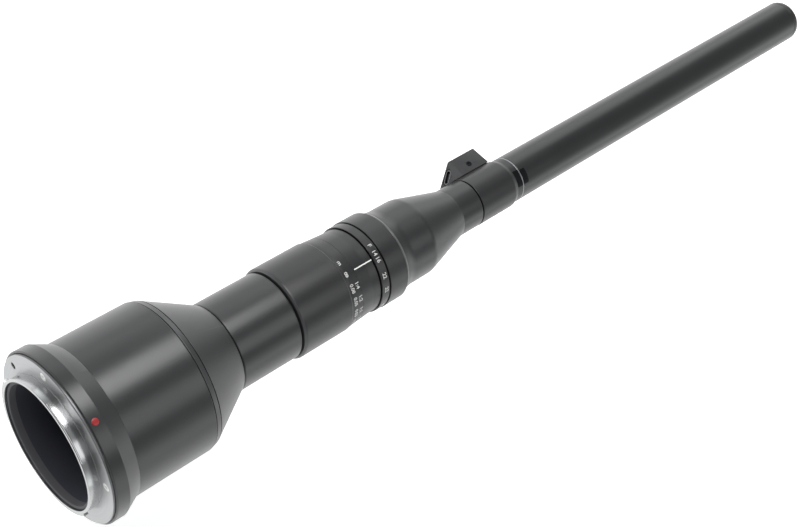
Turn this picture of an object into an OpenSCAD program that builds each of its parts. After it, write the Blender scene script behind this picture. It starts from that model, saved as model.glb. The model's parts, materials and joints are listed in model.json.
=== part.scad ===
// Probe macro lens: a long thin front barrel on a stepped rear body, with a
// bayonet for a camera, a focus ring, an aperture ring and a lamp in its tip.
// Frame: +X along the optical axis towards the tip, +Z through the index dot,
// origin at the centre of the rear flange face. Lengths in millimetres.

/* [Camera mount] */
// Bore of the bayonet throat
throat_d = 49.8; // [49:0.1:50.4]
// Wall of the bayonet spigot
spigot_wall = 1.1; // [0.9:0.05:1.3]
// Length of the spigot behind the flange face
spigot_l = 4.5; // [4:0.1:5.5]
// Height of a bayonet lug above the spigot
lug_h = 1.0; // [0.7:0.05:1.3]
// Thickness of a bayonet lug along the axis
lug_t = 1.6; // [1.2:0.1:2]
// Arc of one bayonet lug in degrees
lug_arc = 50; // [40:1:56]
// Width of the chromed flange outside the lugs
flange_land = 5.8; // [5.4:0.1:6.4]
// Thickness of the flange
flange_t = 2.0; // [1.8:0.1:2.6]
// How far the flange stands proud of the collar
flange_proud = 1.0; // [0.6:0.1:1.2]
// Head diameter of the flange screws
flange_screw_head_d = 3.2; // [2.8:0.1:3.4]
// Shank diameter of the flange screws
flange_screw_d = 1.7; // [1.4:0.1:1.9]
// Diameter of the red index dot
dot_d = 2.6; // [2:0.1:3]

/* [Rear body] */
// Width of the mount collar's rim outside the flange
collar_rim = 0.9; // [0.7:0.1:1.8]
// Length of the collar's straight part
collar_l = 5.5; // [4.5:0.1:7]
// Length of the collar's sloping part
collar_slope_l = 6.0; // [5:0.1:8]
// Radial drop from the mount collar to the rear barrel
barrel_drop = 3.3; // [2.6:0.1:3.8]
// Visible length of the rear barrel
barrel_l = 32.5; // [28:0.5:40]
// Wall of the rear barrel
barrel_wall = 2.6; // [2.2:0.1:3]
// Width of the chamfered band between barrel and cone
band_l = 2.5; // [2:0.1:4]
// Radial drop across the chamfered band
band_drop = 0.8; // [0.5:0.05:1.2]
// Length of the rear cone
cone_l = 19.7; // [18:0.1:26]
// Wall of the waist
waist_wall = 1.75; // [1.5:0.05:2.4]
// Length of the waist
waist_l = 27.2; // [25:0.1:34]

/* [Focus] */
// Bore of the inner guide barrel
guide_bore_d = 26.6; // [25.8:0.1:27.4]
// Wall of the focus ring outside its cam
focus_wall = 3.02; // [2.8:0.02:3.6]
// Length of the focus ring's grip
focus_l = 23.8; // [23:0.1:28]
// How far the distance scale lies below the focus ring's grip
scale_drop = 0.35; // [0.25:0.05:0.6]
// Length of the distance scale
scale_l = 5.5; // [5:0.1:7]
// Turn of the focus ring from far to near in degrees
focus_turn = 80; // [60:1:90]
// Travel of the focusing lens group
focus_travel = 7.0; // [4:0.1:7.5]
// Diameter of the rollers that drive the focusing group
roller_d = 3.0; // [2.4:0.1:3.2]

/* [Aperture] */
// How far the fixed index sleeve lies below the distance scale
index_drop = 0.8; // [0.6:0.05:1]
// Length of the fixed index sleeve
index_l = 9.45; // [8:0.05:12]
// Width of the white index line
index_line_w = 0.6; // [0.4:0.05:0.9]
// How far the aperture ring's number band stands above the index sleeve
aperture_band_rise = 0.6; // [0.4:0.05:0.8]
// How far the aperture ring's grip stands above its number band
aperture_rise = 0.3; // [0.2:0.05:0.9]
// Length of the aperture ring
aperture_l = 13.2; // [13:0.1:15]
// Turn of the aperture ring from the index to the widest stop in degrees
open_turn = 4.6; // [3:0.1:8]
// Turn of the aperture ring from the index to the narrowest stop in degrees
close_turn = 62; // [50:1:64]
// Swing of an iris blade over the whole turn in degrees
blade_swing = 19; // [15:0.5:20]
// Radius of the widest opening of the iris
iris_open_r = 5.2; // [5:0.05:5.5]
// Thickness of an iris blade
blade_t = 0.15; // [0.1:0.01:0.2]

/* [Front housing and neck] */
// Length of the bright chamfer in front of the aperture ring
shoulder_l = 4.8; // [4:0.1:6]
// Wall of the front housing over the guide barrel
housing_cover = 2.07; // [1.8:0.01:2.6]
// Length of the front housing's straight part
housing_l = 13.5; // [10:0.1:18]
// Length of the taper down to the neck
taper_l = 21.5; // [18:0.1:28]
// Wall of the neck over the lamp collar's spigot
neck_wall = 1.17; // [1:0.01:1.3]
// Length of the neck
neck_l = 11.4; // [9:0.1:14]
// How far the lamp collar stands above the neck
lamp_collar_rise = 0.1; // [0.05:0.05:0.3]
// Length of the lamp collar's thick part
lamp_collar_l = 19.9; // [19:0.1:26]
// Length of the lamp collar's step down to the front barrel
lamp_step_l = 1.5; // [1:0.1:2.5]
// Length of the lamp collar's thin front part
lamp_sleeve_l = 3.2; // [3:0.1:5]

/* [Lamp socket] */
// Angle of the socket housing round the axis in degrees
socket_angle = -103; // [-140:1:-60]
// Length of the socket housing along its foot
socket_l = 22.7; // [22:0.1:26]
// Height of the socket housing above the lamp collar
socket_h = 8.0; // [7.6:0.1:9.4]
// Width of the socket housing at its foot
socket_w = 7.2; // [6.8:0.1:8]
// Length of the socket's metal mouth
port_l = 7.0; // [6.4:0.1:7.2]
// Width of the socket's metal mouth
port_w = 2.6; // [2.2:0.1:2.8]
// Depth of the socket's metal shell
port_depth = 4.2; // [3.6:0.1:4.4]

/* [Front barrel] */
// Wall of the front barrel
tube_wall = 1.55; // [1.4:0.05:1.7]
// Visible length of the front barrel without its tip ring
tube_l = 199.6; // [120:1:280]
// Bore of the front barrel
tube_bore_d = 16.8; // [16.6:0.05:17]
// Length of the tip ring
tip_l = 5.4; // [5.2:0.1:7]
// Space for the lamp wires round the relay tube
wire_space = 1.0; // [0.9:0.05:1.3]
// Wall of the relay tube
relay_wall = 0.6; // [0.4:0.05:0.6]
// Diameter of one lamp wire
wire_d = 0.8; // [0.6:0.05:0.8]

/* [Hidden] */
$fn = 96;

// Facet counts of small round pieces
small_fn = 32;
// Facet count of the little balls that round the socket housing
ball_fn = 16;
// Angle at which turned surfaces close, clear of the holes and slots in them
seam_turn = 285;
// Overrun of every cut past the face that it opens
over = 0.5;
// Radial gap between parts fitted together on one body
seat = 0.03;
// Radial running clearance between turning or sliding parts
fit = 0.05;
// Clearance between moving parts that pass each other
run = 0.3;
// Width of a fine seam between fixed shells
seam = 0.2;
// Width of the dark gaps beside the turning rings
ring_gap = 0.5;
// Edge chamfer of the turned shells
edge = 0.35;
// Small edge chamfer of the turned shells
fine_edge = 0.15;

// Colours
black = "#2b2d2e";
dark = "#1d1e20";
grey = "#3a3d3f";
chrome = "#c9cbcd";
steel = "#9a9da0";
brass_tone = "#b08d4a";
glass_tone = "#9fb7c4";
white_tone = "#f2f2ee";
red_tone = "#c21a1a";
board_green = "#1f5a38";

// Guide barrel, the fixed inner tube that carries both rings
guide_bore_r = guide_bore_d / 2;
guide_wall = 1.3;
guide_r = guide_bore_r + guide_wall;
cam_wall = 1.35;
cam_r = guide_r + fit + cam_wall;
waist_bore_r = cam_r + run;

// Lamp collar, front barrel and tip, from the barrel's bore outwards
tube_bore_r = tube_bore_d / 2;
tube_r = tube_bore_r + tube_wall;
lamp_bore_gap = 0.1;
lamp_bore_r = tube_bore_r + lamp_bore_gap;
lamp_spigot_wall = 0.8;
spigot_fit_r = lamp_bore_r + lamp_spigot_wall;
joint_drop = 0.75;
joint_r = tube_r - joint_drop;
tip_spigot_wall = 0.77;
tip_board_gap = 0.2;
tip_board_r = tube_bore_r - tip_board_gap;
tip_window_step = 0.4;
tip_window_r = tip_board_r + tip_window_step;
tip_rim = 0.85;
tip_mouth_r = tube_r - tip_rim;

// Radii of the shells that show
throat_r = throat_d / 2;
spigot_r = throat_r + spigot_wall;
lug_r = spigot_r + lug_h;
flange_r = lug_r + flange_land;
collar_r = flange_r + collar_rim;
barrel_r = collar_r - barrel_drop;
cone_rear_r = barrel_r - band_drop;
waist_r = waist_bore_r + waist_wall;
focus_r = cam_r + seat + focus_wall;
scale_r = focus_r - scale_drop;
index_r = scale_r - index_drop;
aperture_band_r = index_r + aperture_band_rise;
aperture_r = aperture_band_r + aperture_rise;
housing_r = guide_r + seat + housing_cover;
neck_r = spigot_fit_r + seat + neck_wall;
lamp_collar_r = neck_r + lamp_collar_rise;
socket_top = lamp_collar_r + socket_h;

// Stations along the axis
x_collar = flange_proud;
x_slope = x_collar + collar_l;
x_barrel = x_slope + collar_slope_l;
x_band = x_barrel + barrel_l;
x_cone = x_band + band_l;
x_waist = x_cone + cone_l;
x_waist_end = x_waist + waist_l;
x_focus = x_waist_end + ring_gap + run;
x_scale = x_focus + focus_l;
x_scale_end = x_scale + scale_l;
x_index = x_scale_end + seam;
x_index_end = x_index + index_l;
x_aperture = x_index_end + ring_gap;
x_aperture_end = x_aperture + aperture_l;
x_front = x_aperture_end + ring_gap;
x_housing = x_front + shoulder_l;
x_taper = x_housing + housing_l;
x_neck = x_taper + taper_l;
x_neck_end = x_neck + neck_l;
x_lamp = x_neck_end + seam;
x_lamp_step = x_lamp + lamp_collar_l;
x_lamp_sleeve = x_lamp_step + lamp_step_l;
x_seam = x_lamp_sleeve + lamp_sleeve_l;
seam_ring_l = 0.6;
x_tube = x_seam + seam_ring_l;
x_tube_end = x_tube + tube_l;
x_tip = x_tube_end + seam;
x_tip_end = x_tip + tip_l;

// Bayonet hub, screws and lock hole
hub_r = lug_r;
hub_l = 2.4;
flange_screws = 4;
flange_screw_share = 0.414;
flange_screw_r = lug_r + (flange_r - lug_r) * flange_screw_share;
flange_screw_from = 45;
flange_screw_l = 6.5;
head_t = 0.9;
cross_w = 0.35;
lock_angle = -91;
lock_d = 2.6;
lock_depth = 1.2;
lug_angle = -3;
lugs = 3;
lug_pitch = 360 / lugs;
lug_set = 0.2;

// Collar interior
web_t = 2.2;
neck_step = 1.3;
dot_at = 2.4;
dot_z = x_collar + dot_at;
dot_depth = 0.6;
dot_dome = 0.15;

// Baffle
baffle_wall = 1.3;
baffle_set = 0.8;
baffle_l = 12.0;
baffle_lip = 1.4;
baffle_foot_t = 1.2;

// Barrel and cone interior
barrel_bore_r = barrel_r - barrel_wall;
band_sleeve_l = 4.0;
band_sleeve_t = 1.5;
band_spigot_l = 2.5;
cone_wall = 1.7;
cone_slope = (cone_rear_r - waist_r) / cone_l;
cone_bore_r = cone_rear_r - cone_slope * band_spigot_l - cone_wall;
cone_seat_l = 5.0;

// Length of the guide barrel and its flange
guide_front_l = 4.4;
x_guide = x_waist - cone_seat_l;
x_guide_end = x_front + guide_front_l;
guide_flange_l = 2 * cone_seat_l;
rib_l = 1.8;
rib_h = 0.9;

// Rear lens cell
rear_cell_wall = 1.4;
rear_cell_r = guide_bore_r + seat + rear_cell_wall;
rear_cell_l = 40.0;
rear_cell_spigot_l = 7.0;
rear_lens_r = guide_bore_r - rear_cell_wall;
rear_lens_edge = 4.0;
rear_lens_bulge = 1.1;
retainer_t = 1.6;
retainer_w = 1.5;
rear_set = 0.8;
doublet_edge = 5.0;
doublet_gap = 9.0;
doublet_split_share = 0.6;
cell_shoulder = 0.8;

// Focusing group
roller_at = 7.2;
x_roller = x_focus + roller_at;
carrier_r = guide_bore_r - fit;
carrier_wall = 1.5;
carrier_l = 24.0;
x_carrier = x_roller - carrier_l / 2;
carrier_lens_r = carrier_r - carrier_wall - seat;
carrier_lens_edge = 5.0;
carrier_lens_bulge = 1.3;
carrier_shoulder = 1.0;
rollers = 3;
roller_angle = 60;
roller_r = roller_d / 2;
roller_gap = 0.1;
roller_seat_depth = 1.1;
cam_retainer_t = 1.4;
cam_steps = 26;
x_cam = x_focus + cam_retainer_t;
stop_pin_r = 0.5;
stop_pin_at = (guide_r + scale_r) / 2;
stop_pin_l = 3.4;
stop_groove_depth = 2.4;
stop_spare = 4;

// Index sleeve
index_rise = 0.45;
index_shoulder_r = index_r + index_rise;
index_slope_l = 2.4;
line_depth = 0.35;
line_proud = 0.04;
line_set = 0.35;

// Aperture ring and its driving pin
band_groove_w = 0.5;
band_groove_depth = 0.7;
aperture_band_l = 3.7;
aperture_pin_angle = 180;
aperture_pin_r = 0.5;
// Spare turn at both ends of the slots that the driving pin moves in
pin_slot_spare = 4;
aperture_bore_r = guide_r + fit;

// Iris, rear to front: plate, blades, cam ring, cover
blades = 7;
blade_step = 360 / blades;
iris_turn = open_turn + close_turn;
blade_ratio = blade_swing / iris_turn;
blade_gap = 0.3;
blade_pitch = blade_t + blade_gap;
iris_plate_t = 1.2;
iris_wall = 0.9;
iris_r = guide_bore_r - seat;
iris_hole_gap = 0.4;
iris_hole_r = iris_open_r + iris_hole_gap;
iris_at = 4.9;
x_iris = x_aperture + iris_at;
x_iris_plate_end = x_iris + iris_plate_t;
x_blades = x_iris_plate_end + run;
x_iris_cam = x_blades + blades * blade_pitch + run - blade_gap;
iris_cam_t = 1.4;
x_iris_cover = x_iris_cam + iris_cam_t + run;
iris_cover_t = 1.0;
pivot_inset = 2.67;
pivot_at = iris_r - pivot_inset;
pivot_pin_r = 0.6;
pivot_depth = 0.9;
cam_pin_r = 0.5;
cam_pin_angle = 40;
blade_inset = 1.0;
blade_out_r = pivot_at - blade_inset;
blade_from = 6;
blade_to = 102;
eye_r = 1.1;
ear_r = 0.9;
ear_half_w = 0.7;
arm_depth = 2.0;
slot_gap = 0.1;
slot_steps = 18;
slot_nudge = 1;
arc_steps = 24;

// Front housing interior
housing_wall = 2.7;
shoulder_rise = 2.0;
shoulder_r = housing_r + shoulder_rise;
taper_step = 0.3;
taper_r = housing_r - taper_step;
neck_bore_gap = 0.4;
neck_bore_r = lamp_bore_r + neck_bore_gap;
lamp_spigot_l = 5.6;
housing_lip_r = guide_bore_r - rib_h;
housing_lip_t = 1.6;

// Front barrel joint
joint_l = 4.8;
seal_r = 0.19;
seal_groove_w = 0.6;

// Relay tube and its glasses
relay_r = tube_bore_r - seat - tip_spigot_wall - wire_space;
relay_bore_r = relay_r - relay_wall;
x_relay = x_iris_cover + iris_cover_t + seat;
objective_cell_l = 16.4;
cell_spigot_l = 7.4;
relay_lens_r = relay_bore_r - seat;
relay_lens_edge = 4.4;
relay_lens_bulge = 0.7;
relay_count = 4;
spacer_wall = 0.5;
field_gap = 6.0;
field_edge = 3.2;

// Tip
tip_spigot_l = 5.0;
board_t = 0.8;
led_count = 12;
led_w = 1.6;
led_t = 0.9;
window_t = 1.5;
objective_spigot_wall = 1.37;
front_lens_r = relay_lens_r - objective_spigot_wall - seat;
objective_wall = 0.8;
objective_r = front_lens_r + seat + objective_wall;
front_lens_edge = 2.0;
objective_edge = 4.0;
led_at = (objective_r + tip_board_r) / 2;
tip_recess_t = 1.4;
x_board = x_tip + run + run;
x_window = x_tip_end - tip_recess_t - window_t;

// Relay tube's front end and the objective cell, set back from the tip
x_cell_end = x_tip_end - tip_recess_t;
x_cell = x_cell_end - objective_cell_l;
x_relay_end = x_cell + cell_spigot_l + seat;

// Lamp wires and the window that lets them through the collar
wire_r = wire_d / 2;
wire_at = relay_r + seat + wire_r;
wire_lean = 5;
wire_spread = 3.7;
wire_from = 12.6;
x_wire = x_lamp + wire_from;
wire_rise = 1.0;
wire_top = lamp_collar_r + wire_rise;

// Socket housing outline: stations from the collar's rear end, heights from the axis
socket_back = 2.7;
socket_rise = 7.6;
socket_apex = 6.6;
socket_nose = 1.7;
socket_bed = 1.0;
socket_foot = lamp_collar_r - socket_bed;
socket_top_w = 5.8;
socket_apex_w = 2.8;
socket_apex_drop = 0.1;
socket_rear_w = 7.0;
x_socket = x_lamp - socket_back;
x_socket_end = x_socket + socket_l;
socket_round = 0.3;
socket_wall = 1.4;
socket_rear_wall = 3.6;
port_wall = 0.3;
port_recess = 0.5;
port_recess_gap = 0.9;
port_at_share = 0.58;
tongue_t = 0.6;
tongue_w_share = 0.66;
slant_dx = socket_apex;
slant_dy = socket_top - socket_apex_drop - socket_foot;
slant_angle = atan2(slant_dy, slant_dx);
board_w = 0.8;
socket_board_l = 8.6;
socket_board_h = 3.4;
screw_at = 11.2;
screw_x = x_lamp + screw_at;
screw_rise = 2.6;
screw_y = lamp_collar_r + screw_rise;
screw_r = 0.6;
screw_head_r = 1.1;
screw_head_t = 0.7;
screw_sink = 0.25;
window_l = 10.6;
window_w = 4.4;

// Puts the local frame (z along the axis, x up) into the part's frame
module axial() {
    rotate([180, 0, 0]) rotate([0, 90, 0]) children();
}

// Turned solid from an outline of [radius, station] points
module turned(outline) {
    axial() rotate([0, 0, seam_turn]) rotate_extrude() polygon(outline);
}

// Plain tube between two radii and two stations
module pipe(r_in, r_out, z_from, z_to) {
    turned([[r_in, z_from], [r_out, z_from], [r_out, z_to], [r_in, z_to]]);
}

// Places children at an angle round the axis and a station, their z pointing outwards
module outward(angle, station) {
    axial() rotate([0, 0, angle]) translate([0, 0, station]) rotate([0, 90, 0]) children();
}

// Sector of a turned solid from one angle to another
module arc_turned(outline, from, to) {
    axial() rotate([0, 0, from]) rotate_extrude(angle = to - from) polygon(outline);
}

// Sector of a tube from one angle to another
module arc_pipe(r_in, r_out, z_from, z_to, from, to) {
    arc_turned([[r_in, z_from], [r_out, z_from], [r_out, z_to], [r_in, z_to]], from, to);
}

// Points of a shallow spherical face from the axis to its rim
function face_points(r, bulge, station, dir) = let (ball = (r * r + bulge * bulge) / (2 * abs(bulge)))
    [for (i = [0:arc_steps / 2]) let (q = r * i / (arc_steps / 2))
        [q, station + dir * sign(bulge) * (sqrt(ball * ball - q * q) - sqrt(ball * ball - r * r))]];

// Height of a bulging face at a distance w inside its rim
function rim_rise(r, w, bulge) = bulge * (1 - (r - w) * (r - w) / (r * r));

function reversed(list) = [for (i = [len(list) - 1:-1:0]) list[i]];

// Lens element: bulge is positive where a face is convex
module glass_element(r, z_from, z_to, bulge_rear, bulge_front) {
    turned(concat(face_points(r, bulge_rear, z_from, -1),
        reversed(face_points(r, bulge_front, z_to, 1))));
}

// Circle arc as points
function arc_points(r, from, to) =
    [for (i = [0:arc_steps]) let (a = from + (to - from) * i / arc_steps) [r * cos(a), r * sin(a)]];

function turn_about(p, centre, angle) = let (d = p - centre)
    centre + [d[0] * cos(angle) - d[1] * sin(angle), d[0] * sin(angle) + d[1] * cos(angle)];

// Camera mount

module flange_screw_places() {
    for (i = [0:flange_screws - 1])
        axial() rotate([0, 0, flange_screw_from + i * 360 / flange_screws])
            translate([flange_screw_r, 0, 0])
            children();
}

module bayonet_ring() {
    lug_rear = lug_set - spigot_l;
    inside = spigot_r - spigot_wall / 2;
    color(chrome) difference() {
        union() {
            turned([[throat_r, -spigot_l], [spigot_r - fine_edge, -spigot_l],
                [spigot_r, fine_edge - spigot_l], [spigot_r, 0], [flange_r - edge, 0],
                [flange_r, edge], [flange_r, flange_t], [hub_r, flange_t],
                [hub_r, flange_t + hub_l], [throat_r, flange_t + hub_l]]);
            for (i = [0:lugs - 1]) let (mid = lug_angle + i * lug_pitch)
                arc_turned([[inside, lug_rear], [lug_r - fine_edge, lug_rear],
                    [lug_r, lug_rear + fine_edge], [lug_r, lug_rear + lug_t],
                    [inside, lug_rear + lug_t]], mid - lug_arc / 2, mid + lug_arc / 2);
        }
        flange_screw_places() {
            translate([0, 0, -over])
                cylinder(r = flange_screw_d / 2 + seat, h = flange_t + 2 * over, $fn = small_fn);
            translate([0, 0, -over])
                cylinder(r = flange_screw_head_d / 2 + seat, h = over + head_t, $fn = small_fn);
        }
        axial() rotate([0, 0, lock_angle]) translate([flange_screw_r, 0, -over])
            cylinder(d = lock_d, h = over + lock_depth, $fn = small_fn);
    }
}

module bayonet_screws() {
    color(steel) flange_screw_places() difference() {
        union() {
            translate([0, 0, seat])
                cylinder(r = flange_screw_head_d / 2, h = head_t - seat, $fn = small_fn);
            translate([0, 0, seat + head_t / 2])
                cylinder(r = flange_screw_d / 2, h = flange_screw_l, $fn = small_fn);
        }
        for (a = [0, 90]) rotate([0, 0, a])
            translate([-flange_screw_d / 2, -cross_w / 2, -over])
                cube([flange_screw_d, cross_w, over + head_t / 2]);
    }
}

module rear_baffle() {
    outer = throat_r - seat;
    inner = outer - baffle_wall;
    rear = baffle_set - spigot_l;
    foot = flange_t + hub_l;
    color(dark) turned([[inner, rear], [outer, rear], [outer, foot], [hub_r, foot],
        [hub_r, foot + baffle_foot_t], [outer, foot + baffle_foot_t], [outer, baffle_l],
        [inner - baffle_lip, baffle_l], [inner - baffle_lip, baffle_l - baffle_foot_t],
        [inner, baffle_l - baffle_foot_t]]);
}

// Shells of the rear body

module mount_collar() {
    bore = barrel_r - neck_step + seat;
    color(black) difference() {
        turned([[hub_r + seat, flange_t], [flange_r + seat, flange_t], [flange_r + seat, x_collar],
            [collar_r - edge, x_collar], [collar_r, x_collar + edge], [collar_r, x_slope - edge],
            [collar_r - edge / 2, x_slope], [barrel_r + fine_edge, x_barrel - fine_edge],
            [barrel_r, x_barrel], [bore, x_barrel], [bore, flange_t + web_t],
            [hub_r + seat, flange_t + web_t]]);
        flange_screw_places() translate([0, 0, x_collar])
            cylinder(r = flange_screw_d / 2 + seat, h = flange_screw_l + over, $fn = small_fn);
        outward(0, dot_z) translate([0, 0, collar_r - dot_depth])
            cylinder(r = dot_d / 2 + seat, h = dot_depth + over, $fn = small_fn);
    }
}

module index_dot() {
    ball = (dot_d * dot_d / 4 + dot_dome * dot_dome) / (2 * dot_dome);
    color(red_tone) outward(0, dot_z) intersection() {
        translate([0, 0, collar_r - dot_depth])
            cylinder(d = dot_d, h = dot_depth + dot_dome, $fn = small_fn);
        translate([0, 0, collar_r + dot_dome - ball]) sphere(r = ball);
    }
}

module rear_barrel() {
    neck = barrel_r - neck_step;
    color(black) difference() {
        turned([[barrel_bore_r, flange_t + web_t + seat], [neck, flange_t + web_t + seat],
            [neck, x_barrel], [barrel_r, x_barrel], [barrel_r, x_band - fine_edge],
            [barrel_r - fine_edge, x_band], [barrel_bore_r, x_band]]);
        flange_screw_places() translate([0, 0, x_collar])
            cylinder(r = flange_screw_d / 2 + seat, h = flange_screw_l + over, $fn = small_fn);
    }
}

module barrel_band() {
    sleeve = barrel_bore_r - seat;
    spigot = cone_bore_r - seat;
    bore = spigot - band_sleeve_t;
    color(grey) turned([[bore, x_band - band_sleeve_l], [sleeve, x_band - band_sleeve_l],
        [sleeve, x_band + seam], [barrel_r - fine_edge, x_band + seam],
        [cone_rear_r + fine_edge, x_cone - seam], [spigot, x_cone - seam],
        [spigot, x_cone + band_spigot_l], [bore, x_cone + band_spigot_l]]);
}

module rear_cone() {
    inside = waist_r + cone_slope * cone_seat_l - cone_wall;
    color(black) turned([[cone_bore_r, x_cone], [cone_rear_r - fine_edge, x_cone],
        [cone_rear_r, x_cone + fine_edge], [waist_r, x_waist], [waist_bore_r, x_waist],
        [waist_bore_r, x_guide], [inside, x_guide], [cone_bore_r, x_cone + band_spigot_l + seat]]);
}

module waist_tube() {
    color(black) turned([[waist_bore_r, x_waist], [waist_r, x_waist],
        [waist_r, x_waist_end - edge], [waist_r - edge, x_waist_end],
        [waist_bore_r, x_waist_end]]);
}

module guide_barrel() {
    rib = x_iris - rib_l;
    flange = waist_bore_r - seat;
    slot_w = roller_d + 2 * roller_gap;
    pin_from = aperture_pin_angle - close_turn - pin_slot_spare;
    pin_to = aperture_pin_angle + open_turn + pin_slot_spare;
    pin_z = x_iris_cam + iris_cam_t / 2;
    pin_slot_r = aperture_pin_r + run;
    color(grey) difference() {
        turned([[guide_bore_r, x_guide], [flange, x_guide], [flange, x_guide + guide_flange_l],
            [guide_r, x_guide + guide_flange_l], [guide_r, x_guide_end],
            [guide_bore_r, x_guide_end], [guide_bore_r, x_iris], [guide_bore_r - rib_h, x_iris],
            [guide_bore_r - rib_h, rib], [guide_bore_r, rib - rib_h]]);
        for (i = [0:rollers - 1]) outward(roller_angle + i * 360 / rollers, x_roller)
            translate([0, 0, guide_bore_r - over]) linear_extrude(guide_wall + 2 * over) union() {
                translate([-focus_travel, -slot_w / 2]) square([focus_travel, slot_w]);
                for (end = [0, -focus_travel]) translate([end, 0])
                    circle(d = slot_w, $fn = small_fn);
            }
        arc_pipe(guide_bore_r - over, guide_r + over, pin_z - pin_slot_r, pin_z + pin_slot_r,
            pin_from, pin_to);
    }
}

// Rear glasses in their cell

x_rear_cell = x_guide - rear_cell_l;
x_rear_lens = x_rear_cell + rear_set + retainer_t + rear_lens_bulge;
x_doublet = x_rear_lens + rear_lens_edge + doublet_gap;

module rear_cell() {
    spigot = guide_bore_r - seat;
    seat_r = rear_lens_r + seat;
    lens_end = x_rear_lens + rear_lens_edge;
    color(dark) turned([[seat_r, x_rear_cell], [rear_cell_r - edge, x_rear_cell],
        [rear_cell_r, x_rear_cell + edge], [rear_cell_r, x_guide], [spigot, x_guide],
        [spigot, x_guide + rear_cell_spigot_l], [seat_r, x_guide + rear_cell_spigot_l],
        [seat_r, x_doublet], [seat_r - cell_shoulder, x_doublet - cell_shoulder],
        [seat_r - cell_shoulder, lens_end + cell_shoulder], [seat_r, lens_end]]);
}

module rear_lens() {
    color(glass_tone) glass_element(rear_lens_r, x_rear_lens, x_rear_lens + rear_lens_edge - seat,
        rear_lens_bulge, rear_lens_bulge / 2);
}

module rear_doublet() {
    mid = x_doublet + doublet_edge * doublet_split_share;
    color(glass_tone) {
        glass_element(rear_lens_r, x_doublet + seat, mid, -rear_lens_bulge / 2, rear_lens_bulge);
        glass_element(rear_lens_r, mid + seat, x_doublet + doublet_edge, -rear_lens_bulge,
            rear_lens_bulge / 2);
    }
}

module rear_retainer() {
    rear = x_rear_lens - seat - rim_rise(rear_lens_r, retainer_w, rear_lens_bulge);
    front = x_doublet + doublet_edge + seat + rim_rise(rear_lens_r, retainer_w, rear_lens_bulge / 2);
    color(dark) {
        pipe(rear_lens_r - retainer_w, rear_lens_r, rear - retainer_t, rear);
        pipe(rear_lens_r - retainer_w, rear_lens_r, front, front + retainer_t);
    }
}

// Focusing

module focus_ring() {
    bore = cam_r + seat;
    stop_out = stop_pin_r + run;
    color(black) difference() {
        turned([[bore, x_focus], [focus_r - edge, x_focus], [focus_r, x_focus + edge],
            [focus_r, x_scale - fine_edge], [focus_r - fine_edge, x_scale], [scale_r, x_scale],
            [scale_r, x_scale + scale_l / 4], [index_shoulder_r, x_scale_end],
            [guide_r + fit, x_scale_end], [guide_r + fit, x_scale], [bore, x_scale]]);
        arc_pipe(stop_pin_at - stop_out, stop_pin_at + stop_out, x_scale_end - stop_groove_depth,
            x_scale_end + over, -stop_spare, focus_turn + stop_spare);
    }
}

module focus_cam() {
    hole_r = roller_r + roller_gap;
    color(brass_tone) difference() {
        pipe(guide_r + fit, cam_r, x_cam + seat, x_scale - seat);
        for (i = [0:rollers - 1], k = [0:cam_steps]) let (share = k / cam_steps)
            outward(roller_angle + i * 360 / rollers + share * focus_turn,
                x_roller + share * focus_travel)
                translate([0, 0, guide_r - over])
                    cylinder(r = hole_r, h = cam_wall + 2 * over, $fn = small_fn);
    }
}

module cam_retainer() {
    color(dark) pipe(guide_r + fit, cam_r, x_focus, x_cam);
}

module focus_stop_pin() {
    color(steel) axial() translate([stop_pin_at, 0, x_index - stop_pin_l / 2])
        cylinder(r = stop_pin_r, h = stop_pin_l, $fn = small_fn);
}

module focus_carrier() {
    lens_seat = carrier_r - carrier_wall;
    mid = x_carrier + carrier_l / 2;
    color(dark) difference() {
        turned([[lens_seat, x_carrier], [carrier_r, x_carrier],
            [carrier_r, x_carrier + carrier_l], [lens_seat, x_carrier + carrier_l],
            [lens_seat, mid + carrier_shoulder], [lens_seat - carrier_shoulder, mid],
            [lens_seat, mid - carrier_shoulder]]);
        for (i = [0:rollers - 1]) outward(roller_angle + i * 360 / rollers, x_roller)
            translate([0, 0, carrier_r - roller_seat_depth])
                cylinder(r = roller_r + seat, h = roller_seat_depth + over, $fn = small_fn);
    }
}

module focus_rollers() {
    foot = carrier_r - roller_seat_depth + seat;
    color(steel) for (i = [0:rollers - 1])
        outward(roller_angle + i * 360 / rollers, x_roller)
            translate([0, 0, foot]) cylinder(r = roller_r, h = cam_r - run - foot, $fn = small_fn);
}

x_focus_lens_rear = x_carrier + carrier_l / 2 - carrier_shoulder - carrier_lens_edge;
x_focus_lens_front = x_carrier + carrier_l / 2 + carrier_shoulder;

module focus_lens_rear() {
    color(glass_tone) glass_element(carrier_lens_r, x_focus_lens_rear,
        x_focus_lens_rear + carrier_lens_edge - seat, carrier_lens_bulge, -carrier_lens_bulge / 2);
}

module focus_lens_front() {
    color(glass_tone) glass_element(carrier_lens_r, x_focus_lens_front + seat,
        x_focus_lens_front + carrier_lens_edge, carrier_lens_bulge / 4, carrier_lens_bulge);
}

module focus_retainer() {
    rise = seat + rim_rise(carrier_lens_r, retainer_w, carrier_lens_bulge);
    rear = x_focus_lens_rear - rise;
    front = x_focus_lens_front + carrier_lens_edge + rise;
    color(dark) {
        pipe(carrier_lens_r - retainer_w, carrier_lens_r, rear - retainer_t, rear);
        pipe(carrier_lens_r - retainer_w, carrier_lens_r, front, front + retainer_t);
    }
}

// Index

// Strip over the index line, from an outline of [radius, station] points
module index_strip(outline, w) {
    axial() rotate([90, 0, 0]) linear_extrude(w, center = true) polygon(outline);
}

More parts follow.
